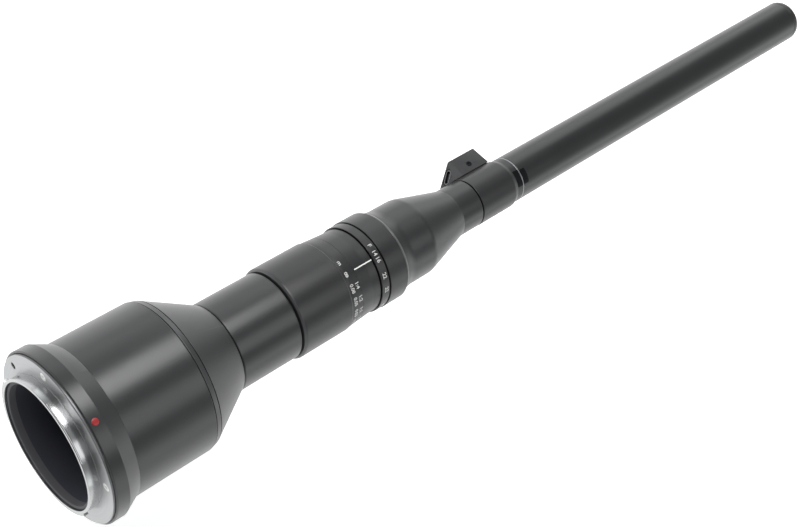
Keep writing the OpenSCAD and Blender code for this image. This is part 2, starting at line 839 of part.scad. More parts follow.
module index_sleeve() {
    floor_r = index_r - line_depth;
    from = x_index + line_set;
    color(black) difference() {
        turned([[guide_r + seat, x_index], [index_shoulder_r, x_index],
            [index_r, x_index + index_slope_l], [index_r, x_index_end],
            [guide_r + seat, x_index_end]]);
        index_strip([[floor_r, from], [scale_r + over, from], [scale_r + over, x_index_end + over],
            [floor_r, x_index_end + over]], index_line_w + 2 * seat);
        axial() translate([stop_pin_at, 0, x_index - over])
            cylinder(r = stop_pin_r + seat, h = over + stop_pin_l / 2 + seat, $fn = small_fn);
    }
}

module index_line() {
    floor_r = index_r - line_depth + seat;
    from = x_index + line_set + seat;
    top = index_r + line_proud;
    color(white_tone) index_strip([[floor_r, from],
        [top + index_rise * (1 - line_set / index_slope_l), from],
        [top, x_index + index_slope_l], [top, x_index_end], [floor_r, x_index_end]], index_line_w);
}

// Aperture

module aperture_ring() {
    groove = x_aperture + aperture_band_l;
    pin_z = x_iris_cam + iris_cam_t / 2;
    color(black) difference() {
        turned([[aperture_bore_r, x_aperture], [aperture_band_r - fine_edge, x_aperture],
            [aperture_band_r, x_aperture + fine_edge], [aperture_band_r, groove],
            [aperture_band_r - band_groove_depth, groove],
            [aperture_band_r - band_groove_depth, groove + band_groove_w],
            [aperture_r - fine_edge, groove + band_groove_w],
            [aperture_r, groove + band_groove_w + fine_edge],
            [aperture_r, x_aperture_end - fine_edge], [aperture_r - fine_edge, x_aperture_end],
            [aperture_bore_r, x_aperture_end]]);
        outward(aperture_pin_angle, pin_z) translate([0, 0, guide_r - over])
            cylinder(r = aperture_pin_r + seat, h = aperture_r - guide_r - over, $fn = small_fn);
    }
}

module aperture_pin() {
    tail = iris_r - iris_wall - run - aperture_pin_r * 2;
    color(steel) outward(aperture_pin_angle, x_iris_cam + iris_cam_t / 2)
        translate([0, 0, tail])
            cylinder(r = aperture_pin_r, h = aperture_r - 2 * over - seat - tail, $fn = small_fn);
}

pivot = [pivot_at, 0];
cam_pin_open = [pivot_at * cos(cam_pin_angle), pivot_at * sin(cam_pin_angle)];

// Place of a blade's cam pin in the cam ring, for a ring turned by phi from rest
function slot_point(phi) =
    turn_about(turn_about(cam_pin_open, pivot, (open_turn - phi) * blade_ratio), [0, 0], -phi);

// Outline of one cam slot as two sides of a band along the pin's way
function slot_side(side) = [for (k = [0:slot_steps])
    let (phi = open_turn - iris_turn * k / slot_steps, p = slot_point(phi),
        d = slot_point(phi - slot_nudge) - slot_point(phi + slot_nudge), n = [-d[1], d[0]] / norm(d))
        p + side * (cam_pin_r + slot_gap) * n];

module iris_cam_ring() {
    out_r = iris_r - iris_wall - run / 2;
    color(brass_tone) difference() {
        axial() translate([0, 0, x_iris_cam]) linear_extrude(iris_cam_t) difference() {
            circle(r = out_r);
            circle(r = iris_hole_r + run);
            for (i = [0:blades - 1]) rotate(i * blade_step) {
                polygon(concat(slot_side(1), reversed(slot_side(-1))));
                for (phi = [open_turn, -close_turn]) translate(slot_point(phi))
                    circle(r = cam_pin_r + slot_gap, $fn = small_fn);
            }
        }
        outward(aperture_pin_angle, x_iris_cam + iris_cam_t / 2)
            translate([0, 0, out_r - 2 * aperture_pin_r - run / 2])
                cylinder(r = aperture_pin_r + seat, h = 2 * aperture_pin_r + over, $fn = small_fn);
    }
}

module iris_housing() {
    inside = iris_r - iris_wall;
    pin_z = x_iris_cam + iris_cam_t / 2;
    pin_slot_r = aperture_pin_r + run;
    color(dark) difference() {
        turned([[iris_hole_r, x_iris], [iris_r, x_iris], [iris_r, x_iris_cover],
            [inside, x_iris_cover], [inside, x_iris_plate_end], [iris_hole_r, x_iris_plate_end]]);
        for (i = [0:blades - 1]) axial() rotate([0, 0, i * blade_step])
            translate([pivot_at, 0, x_iris_plate_end - pivot_depth])
                cylinder(r = pivot_pin_r + fit, h = pivot_depth + over, $fn = small_fn);
        arc_pipe(inside - over, iris_r + over, pin_z - pin_slot_r, x_iris_cover + over,
            aperture_pin_angle - close_turn - pin_slot_spare,
            aperture_pin_angle + open_turn + pin_slot_spare);
    }
}

// One blade at rest: i counts round the iris and up the stack
module iris_blade(i) {
    z = x_blades + i * blade_pitch;
    color(steel) axial() rotate([0, 0, i * blade_step]) translate([pivot_at, 0, 0])
        rotate([0, 0, open_turn * blade_ratio]) translate([-pivot_at, 0, 0]) {
            translate([0, 0, z]) linear_extrude(blade_t) union() {
                polygon(concat(arc_points(iris_open_r, blade_from, blade_to),
                    reversed(arc_points(blade_out_r, blade_from, blade_to))));
                translate(pivot) circle(r = eye_r, $fn = small_fn);
                translate([pivot_at - arm_depth, 0]) square([arm_depth, eye_r]);
                translate(cam_pin_open) circle(r = ear_r, $fn = small_fn);
                rotate(cam_pin_angle) translate([pivot_at - arm_depth, -ear_half_w])
                    square([arm_depth, 2 * ear_half_w]);
            }
            translate([pivot_at, 0, x_iris_plate_end - pivot_depth + seat])
                cylinder(r = pivot_pin_r, h = z + blade_t - x_iris_plate_end + pivot_depth - seat,
                    $fn = small_fn);
            translate([cam_pin_open[0], cam_pin_open[1], z])
                cylinder(r = cam_pin_r, h = x_iris_cam + iris_cam_t - seat - z, $fn = small_fn);
        }
}

module iris_cover() {
    color(dark) pipe(iris_hole_r + run, iris_r, x_iris_cover, x_iris_cover + iris_cover_t);
}

// Front housing and lamp collar

module front_housing() {
    bore = guide_r + seat;
    inside = housing_r - housing_wall;
    tip_bore = neck_bore_r;
    lip = x_guide_end + seat;
    spigot = spigot_fit_r + seat;
    color(black) turned([[bore, x_front], [shoulder_r, x_front], [housing_r, x_housing],
        [housing_r, x_taper - fine_edge], [taper_r, x_taper], [neck_r, x_neck],
        [neck_r, x_neck_end - fine_edge], [neck_r - fine_edge, x_neck_end],
        [spigot, x_neck_end], [spigot, x_lamp - lamp_spigot_l - seat],
        [tip_bore, x_lamp - lamp_spigot_l - seat], [tip_bore, x_neck - housing_wall],
        [inside - housing_wall / 2, x_taper - housing_wall], [inside, x_taper - 2 * housing_wall],
        [inside, lip + housing_lip_t], [housing_lip_r, lip + housing_lip_t],
        [housing_lip_r, lip], [bore, lip]]);
}

module lamp_collar() {
    color(black) difference() {
        turned([[lamp_bore_r, x_lamp - lamp_spigot_l], [spigot_fit_r, x_lamp - lamp_spigot_l],
            [spigot_fit_r, x_lamp], [lamp_collar_r - fine_edge, x_lamp],
            [lamp_collar_r, x_lamp + fine_edge], [lamp_collar_r, x_lamp_step - fine_edge],
            [lamp_collar_r - fine_edge, x_lamp_step], [tube_r, x_lamp_sleeve],
            [tube_r, x_seam], [joint_r + seat, x_seam], [joint_r + seat, x_tube - joint_l - seat],
            [lamp_bore_r, x_tube - joint_l - seat]]);
        in_socket() translate([x_wire + wire_d - window_l, 0, -window_w / 2])
            cube([window_l, lamp_collar_r + over, window_w]);
        in_socket() at_port() port_block(port_l + 2 * seat, port_w + 2 * seat, -over,
            port_depth + run);
    }
}

// Frame of the socket housing: x along the axis, y outwards, z across
module in_socket() {
    rotate([socket_angle, 0, 0]) rotate([90, 0, 0]) children();
}

module socket_shape() {
    foot_half = socket_w / 2 - socket_round;
    rear_half = socket_rear_w / 2 - socket_round;
    top_half = socket_top_w / 2 - socket_round;
    apex_half = socket_apex_w / 2 - socket_round;
    top = socket_top - socket_round;
    corners = [[x_socket + socket_round, socket_foot, rear_half],
        [x_socket + socket_rise, socket_foot, foot_half],
        [x_socket_end - socket_round, socket_foot, foot_half],
        [x_socket_end - socket_nose - socket_round, top, top_half],
        [x_socket + socket_rise, top, top_half],
        [x_socket + socket_apex + socket_round, top - socket_apex_drop, apex_half]];
    hull() for (p = corners, side = [-1, 1]) translate([p[0], p[1], side * p[2]])
        sphere(r = socket_round, $fn = ball_fn);
}

// Frame at the middle of the socket's mouth: x up the slanted face, y into the housing
module at_port() {
    run_l = norm([slant_dx, slant_dy]) * port_at_share;
    translate([x_socket, socket_foot, 0]) rotate([0, 0, slant_angle]) translate([run_l, 0, 0])
        mirror([0, 1, 0]) children();
}

// Flat slot with round ends: long along x, thin along z, deep along y
module port_block(long, thin, from, to) {
    translate([0, from, 0]) rotate([-90, 0, 0]) linear_extrude(to - from) {
        square([long - thin, thin], center = true);
        for (side = [-1, 1]) translate([side * (long - thin) / 2, 0])
            circle(d = thin, $fn = small_fn);
    }
}

module socket_cavity() {
    translate([0, 0, -window_w / 2]) linear_extrude(window_w)
        polygon([[x_socket + socket_rear_wall, socket_foot - over],
            [x_socket + socket_rear_wall + slant_dx - socket_wall, socket_top - socket_wall],
            [x_socket_end - socket_nose - socket_wall, socket_top - socket_wall],
            [x_socket_end - socket_nose - socket_wall, socket_foot - over]]);
}

// The socket's screw, wider by a gap on all sides and with its head drawn out by open
module socket_screw_shape(gap, open) {
    top = socket_w / 2 - socket_round - screw_sink;
    foot = (socket_wall - socket_w) / 2 - gap;
    translate([screw_x, screw_y, 0]) {
        translate([0, 0, foot]) cylinder(r = screw_r + gap, h = top - foot, $fn = small_fn);
        translate([0, 0, top - screw_head_t - gap])
            cylinder(r = screw_head_r + gap, h = screw_head_t + gap + open, $fn = small_fn);
    }
}

module socket_housing() {
    color(black) in_socket() difference() {
        socket_shape();
        socket_cavity();
        at_port() {
            port_block(port_l + 2 * port_recess_gap, port_w + 2 * port_recess_gap, -over - port_w,
                port_recess);
            port_block(port_l + 2 * seat, port_w + 2 * seat, -over, port_depth + run);
        }
        socket_screw_shape(seat, socket_round + screw_sink + over);
        rotate([0, 90, 0]) translate([0, 0, x_socket - over])
            cylinder(r = lamp_collar_r + seat, h = socket_l + 2 * over);
    }
}

module socket_shell() {
    color(steel) in_socket() at_port() difference() {
        port_block(port_l, port_w, port_recess / 2, port_depth);
        port_block(port_l - 2 * port_wall, port_w - 2 * port_wall, 0, port_depth - port_wall);
    }
}

module socket_tongue() {
    long = (port_l - port_w) * tongue_w_share;
    color(dark) in_socket() at_port()
        translate([-long / 2, port_recess, -tongue_t / 2])
            cube([long, port_depth - port_wall - port_recess - seat, tongue_t]);
}

module socket_board() {
    color(board_green) in_socket() difference() {
        translate([x_wire - socket_board_l + wire_d, wire_top, -port_w / 2 - board_w / 2])
            cube([socket_board_l, socket_board_h, board_w]);
        socket_screw_shape(seat, over);
        at_port() port_block(port_l + 2 * seat, port_w + 2 * seat, -over, port_depth + seat);
    }
}

module socket_screw() {
    top = socket_w / 2 - socket_round - screw_sink;
    color(steel) in_socket() difference() {
        socket_screw_shape(0, 0);
        for (a = [0, 90]) translate([screw_x, screw_y, top]) rotate([0, 0, a])
            cube([2 * screw_r, cross_w, screw_head_t], center = true);
    }
}

// Front barrel

module seam_ring() {
    color(steel) pipe(joint_r + seat, tube_r, x_seam + seat, x_tube - seat);
}

module front_barrel() {
    rear = x_tube - joint_l;
    groove = (rear + x_seam) / 2;
    groove_r = joint_r - 2 * seal_r;
    color(black) turned([[tube_bore_r, rear], [joint_r, rear],
        [joint_r, groove - seal_groove_w / 2], [groove_r, groove - seal_groove_w / 2],
        [groove_r, groove + seal_groove_w / 2], [joint_r, groove + seal_groove_w / 2],
        [joint_r, x_tube], [tube_r - fine_edge, x_tube], [tube_r, x_tube + fine_edge],
        [tube_r, x_tube_end - fine_edge], [tube_r - fine_edge, x_tube_end],
        [tube_bore_r, x_tube_end]]);
}

module collar_seal() {
    groove = (x_tube - joint_l + x_seam) / 2;
    color(dark) axial() translate([0, 0, groove]) rotate_extrude()
        translate([joint_r - seal_r, 0]) circle(r = seal_r - seat / 2, $fn = small_fn);
}

// Relay optics

module relay_tube() {
    color(dark) turned([[relay_bore_r, x_relay], [iris_r, x_relay],
        [iris_r, x_guide_end], [relay_r, x_guide_end],
        [relay_r, x_relay_end], [relay_bore_r, x_relay_end]]);
}

x_field = x_relay + field_gap;
x_first_relay = x_field + field_edge;
relay_space = (x_cell - x_first_relay - relay_count * relay_lens_edge) / (relay_count + 1);
relay_pitch = relay_space + relay_lens_edge;

module field_lens() {
    color(glass_tone) glass_element(relay_lens_r, x_field, x_first_relay,
        relay_lens_bulge, relay_lens_bulge);
}

module relay_lenses() {
    color(glass_tone) for (i = [0:relay_count - 1]) let (z = x_first_relay + relay_space
        + i * relay_pitch)
        glass_element(relay_lens_r, z, z + relay_lens_edge, relay_lens_bulge, relay_lens_bulge);
}

module relay_spacers() {
    rise = seat + rim_rise(relay_lens_r, spacer_wall, relay_lens_bulge);
    color(dark) {
        pipe(relay_lens_r - spacer_wall, relay_lens_r, x_relay, x_field - rise);
        for (i = [0:relay_count]) let (z = x_first_relay + i * relay_pitch)
            pipe(relay_lens_r - spacer_wall, relay_lens_r, z + rise, z + relay_space - rise);
    }
}

// Tip

x_front_lens = x_cell_end - front_lens_edge - run;
x_objective = x_cell + cell_spigot_l - seat - objective_edge;

module objective_cell() {
    bore = front_lens_r + seat;
    step = x_cell + cell_spigot_l;
    color(dark) turned([[bore, x_cell], [relay_lens_r, x_cell], [relay_lens_r, step],
        [objective_r, step], [objective_r, x_cell_end - fine_edge],
        [objective_r - fine_edge, x_cell_end], [bore, x_cell_end],
        [bore, x_front_lens], [bore - run, x_front_lens - run], [bore - run, step + run],
        [bore, step]]);
}

module objective_lens() {
    color(glass_tone) glass_element(front_lens_r, x_objective, x_objective + objective_edge,
        relay_lens_bulge, relay_lens_bulge / 2);
}

module front_lens() {
    color(glass_tone) glass_element(front_lens_r, x_front_lens + seat,
        x_front_lens + front_lens_edge - seat, -relay_lens_bulge / 2, relay_lens_bulge / 4);
}

module tip_ring() {
    spigot = tube_bore_r - seat;
    inner = spigot - tip_spigot_wall;
    rear = x_tip - tip_spigot_l;
    groove = x_tip - tip_spigot_l / 2;
    groove_r = spigot - 2 * seal_r;
    color(black) turned([[inner, rear], [spigot, rear], [spigot, groove - seal_groove_w / 2],
        [groove_r, groove - seal_groove_w / 2], [groove_r, groove + seal_groove_w / 2],
        [spigot, groove + seal_groove_w / 2], [spigot, x_tip], [tube_r - fine_edge, x_tip],
        [tube_r, x_tip + fine_edge], [tube_r, x_tip_end - edge], [tube_r - edge, x_tip_end],
        [tip_mouth_r, x_tip_end], [tip_window_r, x_window + window_t], [tip_window_r, x_window],
        [tip_board_r, x_window], [tip_board_r, x_board], [inner, x_board]]);
}

module tip_seal() {
    color(dark) axial() translate([0, 0, x_tip - tip_spigot_l / 2]) rotate_extrude()
        translate([tube_bore_r - seat - seal_r, 0]) circle(r = seal_r - seat / 2, $fn = small_fn);
}

module led_board() {
    color(board_green) pipe(objective_r + seat, tip_board_r - seat, x_board + seat,
        x_board + board_t);
}

module leds() {
    color(white_tone) for (i = [0:led_count - 1]) axial() rotate([0, 0, i * 360 / led_count])
        translate([led_at - led_w / 2, -led_w / 2, x_board + board_t])
            cube([led_w, led_w, led_t]);
}

module lamp_window() {
    color(glass_tone) pipe(objective_r + seat, tip_window_r - seat, x_window + seat,
        x_window + window_t);
}

module lamp_wires() {
    color(red_tone) for (side = [-1, 1]) let (a = socket_angle - wire_lean + side * wire_spread) {
        axial() rotate([0, 0, a]) translate([wire_at, 0, x_wire])
            cylinder(r = wire_r, h = x_board - x_wire, $fn = small_fn);
        outward(a, x_wire) translate([0, 0, wire_at])
            cylinder(r = wire_r, h = wire_top - wire_at, $fn = small_fn);
        outward(a, x_wire) translate([0, 0, wire_at]) sphere(r = wire_r, $fn = small_fn);
    }
}

bayonet_ring();
bayonet_screws();
rear_baffle();
mount_collar();
index_dot();
rear_barrel();
barrel_band();
rear_cone();
waist_tube();
guide_barrel();
rear_cell();
rear_lens();
rear_doublet();
rear_retainer();
focus_ring();
focus_cam();
cam_retainer();
focus_stop_pin();
focus_carrier();
focus_rollers();
focus_lens_rear();
focus_lens_front();
focus_retainer();
index_sleeve();
index_line();
aperture_ring();
aperture_pin();
iris_cam_ring();
iris_housing();
iris_blade(0);  // iris_blade_1
iris_blade(1);  // iris_blade_2
iris_blade(2);  // iris_blade_3
iris_blade(3);  // iris_blade_4
iris_blade(4);  // iris_blade_5
iris_blade(5);  // iris_blade_6
iris_blade(6);  // iris_blade_7
iris_cover();
front_housing();
lamp_collar();
socket_housing();
socket_board();
socket_shell();
socket_tongue();
socket_screw();
seam_ring();
front_barrel();
relay_tube();
relay_lenses();
relay_spacers();
field_lens();
objective_cell();
objective_lens();
front_lens();
tip_ring();
led_board();
leds();
lamp_window();
lamp_wires();
tip_seal();
collar_seal();
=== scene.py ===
import json
import math

import bmesh
import bpy
import numpy as np
from mathutils import Matrix, Vector
from mathutils.geometry import tessellate_polygon

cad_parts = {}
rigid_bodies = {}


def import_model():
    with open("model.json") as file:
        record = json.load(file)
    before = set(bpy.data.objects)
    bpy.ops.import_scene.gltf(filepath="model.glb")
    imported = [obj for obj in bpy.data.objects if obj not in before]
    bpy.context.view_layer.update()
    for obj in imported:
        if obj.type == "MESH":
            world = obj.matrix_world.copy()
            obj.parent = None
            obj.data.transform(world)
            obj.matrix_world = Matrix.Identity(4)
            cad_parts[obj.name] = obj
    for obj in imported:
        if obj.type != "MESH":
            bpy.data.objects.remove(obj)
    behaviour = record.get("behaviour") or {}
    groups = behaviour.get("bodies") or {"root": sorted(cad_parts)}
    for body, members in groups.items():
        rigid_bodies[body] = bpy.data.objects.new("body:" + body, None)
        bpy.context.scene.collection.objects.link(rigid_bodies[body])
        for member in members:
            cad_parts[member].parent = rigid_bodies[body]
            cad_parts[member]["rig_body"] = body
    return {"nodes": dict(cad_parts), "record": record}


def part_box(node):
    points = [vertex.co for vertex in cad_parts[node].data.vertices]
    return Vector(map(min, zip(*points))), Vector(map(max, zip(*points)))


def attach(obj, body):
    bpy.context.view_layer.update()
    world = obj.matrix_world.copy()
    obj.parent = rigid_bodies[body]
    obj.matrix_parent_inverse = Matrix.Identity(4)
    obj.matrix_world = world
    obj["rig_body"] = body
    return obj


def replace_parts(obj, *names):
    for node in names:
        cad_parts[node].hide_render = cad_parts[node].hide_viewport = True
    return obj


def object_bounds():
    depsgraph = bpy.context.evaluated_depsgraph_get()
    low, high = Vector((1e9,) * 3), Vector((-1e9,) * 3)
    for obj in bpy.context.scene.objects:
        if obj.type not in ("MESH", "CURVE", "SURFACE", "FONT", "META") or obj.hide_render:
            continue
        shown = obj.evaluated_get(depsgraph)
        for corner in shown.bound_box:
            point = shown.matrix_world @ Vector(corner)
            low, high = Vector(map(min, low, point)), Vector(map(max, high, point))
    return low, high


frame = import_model()
nodes = frame["nodes"]
bpy.context.view_layer.update()
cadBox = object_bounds()
mm = 0.001


# Helpers for shader trees

floatSocket, colourSocket = "NodeSocketFloat", "NodeSocketColor"


def newGroup(name, inputs, outputs):
    group = bpy.data.node_groups.new(name, "ShaderNodeTree")
    for label, kind, value in inputs:
        socket = group.interface.new_socket(label, in_out="INPUT", socket_type=kind)
        socket.default_value = value
    for label, kind in outputs:
        group.interface.new_socket(label, in_out="OUTPUT", socket_type=kind)
    return group, group.nodes.new("NodeGroupInput"), group.nodes.new("NodeGroupOutput")


def addNode(tree, kind, sockets=None, **settings):
    node = tree.nodes.new(kind)
    for key, value in settings.items():
        setattr(node, key, value)
    for key, value in (sockets or {}).items():
        if isinstance(value, bpy.types.NodeSocket):
            tree.links.new(value, node.inputs[key])
        else:
            node.inputs[key].default_value = value
    return node


def addMath(tree, operation, *values):  # each value is a socket or a plain number
    return addNode(tree, "ShaderNodeMath", dict(enumerate(values)), operation=operation).outputs[0]


def objectPlace(tree):
    return addNode(tree, "ShaderNodeTexCoord").outputs["Object"]


# Shader groups that several finishes share, with the scales of their noise

skinNoise = {"fineDetail": 3.0, "cloudScale": 55.0, "cloudDetail": 3.0}
markNoise = {"waverScale": 120.0, "ringDetail": 2.0, "streakShare": 0.13, "streakDetail": 1.0}
wearNoise = {"scale": 260.0, "detail": 4.0}


def buildSkinGrain():  # blasted, moulded or painted skin
    group, start, end = newGroup("skinGrain", [
        ("Colour", colourSocket, (0.02, 0.02, 0.02, 1)), ("Colour Variation", floatSocket, 0.1),
        ("Roughness", floatSocket, 0.4), ("Roughness Variation", floatSocket, 0.05),
        ("Grains per mm", floatSocket, 5.0)],
        [("Colour", colourSocket), ("Roughness", floatSocket), ("Height", floatSocket)])
    place = objectPlace(group)
    grainScale = addMath(group, "MULTIPLY", start.outputs["Grains per mm"], 1 / mm)
    fine = addNode(group, "ShaderNodeTexNoise", {
        "Vector": place, "Scale": grainScale, "Detail": skinNoise["fineDetail"]}).outputs[0]
    cloud = addNode(group, "ShaderNodeTexNoise", {
        "Vector": place, "Scale": skinNoise["cloudScale"], "Detail": skinNoise["cloudDetail"]}).outputs[0]
    swing = addMath(group, "MULTIPLY", addMath(group, "SUBTRACT", cloud, 0.5), 2.0)
    shade = addMath(group, "MULTIPLY_ADD", swing, start.outputs["Colour Variation"], 1.0)
    colour = addNode(group, "ShaderNodeVectorMath", {0: start.outputs["Colour"], "Scale": shade},
                     operation="SCALE").outputs[0]
    mixed = addMath(group, "ADD", swing, addMath(group, "SUBTRACT", fine, 0.5))
    rough = addMath(group, "MULTIPLY_ADD", mixed, start.outputs["Roughness Variation"],
                    start.outputs["Roughness"])
    group.links.new(colour, end.inputs["Colour"])
    group.links.new(rough, end.inputs["Roughness"])
    group.links.new(fine, end.inputs["Height"])
    return group


def buildTurningMarks():  # fine rings that a lathe tool leaves round the X axis
    group, start, end = newGroup("turningMarks", [
        ("Rings per mm", floatSocket, 8.0), ("Waver", floatSocket, 0.02)],
        [("Height", floatSocket), ("Streak", floatSocket)])
    place = objectPlace(group)
    parts = addNode(group, "ShaderNodeSeparateXYZ", {0: place})
    radius = addMath(group, "SQRT", addMath(group, "ADD",
                     addMath(group, "POWER", parts.outputs["Y"], 2.0),
                     addMath(group, "POWER", parts.outputs["Z"], 2.0)))
    waver = addNode(group, "ShaderNodeTexNoise", {
        "Vector": place, "Scale": markNoise["waverScale"]}).outputs[0]
    along = addMath(group, "MULTIPLY", addMath(group, "ADD", parts.outputs["X"], radius), 1 / mm)
    along = addMath(group, "MULTIPLY_ADD", waver, start.outputs["Waver"], along)
    rings = addMath(group, "MULTIPLY", along, start.outputs["Rings per mm"])
    ringNoise = addNode(group, "ShaderNodeTexNoise", {
        "W": rings, "Scale": 1.0, "Detail": markNoise["ringDetail"]}, noise_dimensions="1D").outputs[0]
    slow = addMath(group, "MULTIPLY", rings, markNoise["streakShare"])
    streak = addNode(group, "ShaderNodeTexNoise", {
        "W": slow, "Scale": 1.0, "Detail": markNoise["streakDetail"]}, noise_dimensions="1D").outputs[0]
    group.links.new(ringNoise, end.inputs["Height"])
    group.links.new(streak, end.inputs["Streak"])
    return group


def buildEdgeWear():  # mask of sharp outer edges, broken up by noise
    group, start, end = newGroup("edgeWear", [
        ("Start", floatSocket, 0.53), ("Full", floatSocket, 0.6), ("Patchiness", floatSocket, 0.5)],
        [("Mask", floatSocket)])
    edge = addNode(group, "ShaderNodeNewGeometry").outputs["Pointiness"]
    ramp = addNode(group, "ShaderNodeMapRange", {"Value": edge, "From Min": start.outputs["Start"],
                   "From Max": start.outputs["Full"]}).outputs[0]
    place = objectPlace(group)
    patches = addNode(group, "ShaderNodeTexNoise", {
        "Vector": place, "Scale": wearNoise["scale"], "Detail": wearNoise["detail"]}).outputs[0]
    lost = addMath(group, "MULTIPLY", patches, start.outputs["Patchiness"])
    group.links.new(addMath(group, "MULTIPLY", ramp, addMath(group, "SUBTRACT", 1.0, lost)),
                    end.inputs["Mask"])
    return group


skinGrain, turningMarks, edgeWear = buildSkinGrain(), buildTurningMarks(), buildEdgeWear()


def fillGroup(tree, group, sockets):
    node = addNode(tree, "ShaderNodeGroup", node_tree=group)
    for key, value in sockets.items():
        node.inputs[key].default_value = value
    return node


def fillSkin(tree, values):
    return fillGroup(tree, skinGrain, {
        "Colour": (*values["colour"], 1), "Colour Variation": values["variation"],
        "Roughness": values["roughness"], "Roughness Variation": values["roughVariation"],
        "Grains per mm": values["grainsPerMm"]})


def startMaterial(name, sockets):
    material = bpy.data.materials.new(name)
    material.use_nodes = True
    shader = material.node_tree.nodes["Principled BSDF"]
    for key, value in sockets.items():
        shader.inputs[key].default_value = value
    return material, material.node_tree, shader


def addBump(tree, shader, height, depth):
    bump = addNode(tree, "ShaderNodeBump", {"Height": height, "Strength": 1.0, "Distance": depth})
    tree.links.new(bump.outputs[0], shader.inputs["Normal"])


# Finishes, one per slot of the record

# Places along the axis are in mm ahead of the flange's face
maskBlur = 0.05


def rearMask(tree, x):  # 1 behind the given place along the axis, 0 ahead of it
    along = addNode(tree, "ShaderNodeSeparateXYZ", {0: objectPlace(tree)}).outputs["X"]
    return addNode(tree, "ShaderNodeMapRange", {
        "Value": along, "From Min": (x - maskBlur) * mm, "From Max": (x + maskBlur) * mm,
        "To Min": 1.0, "To Max": 0.0}).outputs[0]


def paintedBandMask(tree, low, high):  # 1 between two places along the axis, 0 elsewhere
    return addMath(tree, "SUBTRACT", rearMask(tree, high), rearMask(tree, low))


def withPaintedLightBands(tree, colour, paintedLightBands):  # painted highlights and shade, as other colours on bands along the axis
    for low, high, paintedBandColour in paintedLightBands:
        colour = addNode(tree, "ShaderNodeMix", {
            "Factor": paintedBandMask(tree, low, high), 6: colour, 7: (*paintedBandColour, 1)},
            data_type="RGBA").outputs[2]
    return colour


def skinFinish(name, values):  # anodised metal, moulded plastic, paint, flock or rubber
    material, tree, shader = startMaterial(name, values["sockets"])
    grain = fillSkin(tree, values)
    wear = fillGroup(tree, edgeWear, values["wear"])
    worn = addNode(tree, "ShaderNodeMix", data_type="RGBA")
    tree.links.new(wear.outputs["Mask"], worn.inputs["Factor"])
    colour = withPaintedLightBands(tree, grain.outputs["Colour"], values.get("paintedLightBands", ()))
    tree.links.new(colour, worn.inputs[6])
    worn.inputs[7].default_value = (*values["wornColour"], 1)
    tree.links.new(worn.outputs[2], shader.inputs["Base Color"])
    tree.links.new(grain.outputs["Roughness"], shader.inputs["Roughness"])
    height = grain.outputs["Height"]
    if values.get("ringsPerMm"):
        marks = fillGroup(tree, turningMarks, {"Rings per mm": values["ringsPerMm"]})
        height = addMath(tree, "MULTIPLY_ADD", marks.outputs["Height"], values["ringShare"], height)
    addBump(tree, shader, height, values["depth"] * mm)
    return material


def metalFinish(name, values):  # bare metal with turning marks
    material, tree, shader = startMaterial(name, {"Metallic": 1.0})
    marks = fillGroup(tree, turningMarks, {"Rings per mm": values["ringsPerMm"]})
    grain = fillSkin(tree, values)
    streaked = addMath(tree, "MULTIPLY_ADD", marks.outputs["Streak"], values["streak"],
                       grain.outputs["Roughness"])
    if values.get("satinAhead"):
        ahead = addMath(tree, "SUBTRACT", 1.0, rearMask(tree, values["satinAhead"]["x"]))
        streaked = addMath(tree, "MULTIPLY_ADD", ahead, values["satinAhead"]["roughness"], streaked)
    tree.links.new(withPaintedLightBands(tree, grain.outputs["Colour"], values.get("paintedLightBands", ())),
                   shader.inputs["Base Color"])
    tree.links.new(streaked, shader.inputs["Roughness"])
    height = addMath(tree, "MULTIPLY_ADD", marks.outputs["Height"], values["ringShare"],
                     grain.outputs["Height"])
    addBump(tree, shader, height, values["depth"] * mm)
    return material


def glassFinish(name, values):
    material, tree, shader = startMaterial(name, {
        "Transmission Weight": 1.0, "IOR": values["ior"], "Metallic": 0.0,
        "Specular Tint": (*values["coating"], 1), "Coat Weight": values["coat"],
        "Coat Roughness": values["coatRoughness"]})
    smear = fillSkin(tree, values)
    tree.links.new(smear.outputs["Colour"], shader.inputs["Base Color"])
    tree.links.new(smear.outputs["Roughness"], shader.inputs["Roughness"])
    return material


noWear = {"Start": 0.9, "Full": 1.0, "Patchiness": 0.0}
lightWear = {"Start": 0.54, "Full": 0.68, "Patchiness": 0.6}

satinBlack = {
    "sockets": {"IOR": 1.62}, "colour": (0.0105, 0.0115, 0.012), "variation": 0.12,
    "roughness": 0.31, "roughVariation": 0.04, "grainsPerMm": 7.0, "depth": 0.0022,
    "wear": lightWear, "wornColour": (0.075, 0.078, 0.08), "ringsPerMm": 5.0, "ringShare": 0.25}
ringBlack = dict(satinBlack, sockets={"IOR": 1.56}, colour=(0.0095, 0.0098, 0.0105), roughness=0.34)
bandBlack = dict(satinBlack, sockets={"IOR": 1.7}, colour=(0.016, 0.017, 0.018), roughness=0.33)
tipBlack = dict(satinBlack, sockets={"IOR": 1.58}, colour=(0.0095, 0.0095, 0.0078), roughness=0.36)
flockBlack = {
    "sockets": {"IOR": 1.3}, "colour": (0.03, 0.031, 0.04), "variation": 0.3,
    "roughness": 0.9, "roughVariation": 0.05, "grainsPerMm": 6.0, "depth": 0.03,
    "wear": noWear, "wornColour": (0.02, 0.02, 0.02)}
mouldedBlack = {
    "sockets": {"IOR": 1.5}, "colour": (0.022, 0.0225, 0.024), "variation": 0.08,
    "roughness": 0.5, "roughVariation": 0.06, "grainsPerMm": 4.0, "depth": 0.006,
    "wear": lightWear, "wornColour": (0.07, 0.07, 0.07)}
rubberBlack = dict(mouldedBlack, colour=(0.012, 0.012, 0.012), roughness=0.7, wear=noWear)
redEnamel = {
    "sockets": {"IOR": 1.45, "Coat Weight": 0.25, "Coat Roughness": 0.2}, "colour": (0.3, 0.008, 0.01),
    "variation": 0.06, "roughness": 0.35, "roughVariation": 0.04, "grainsPerMm": 1.5, "depth": 0.006,
    "wear": noWear, "wornColour": (0.4, 0.01, 0.01)}
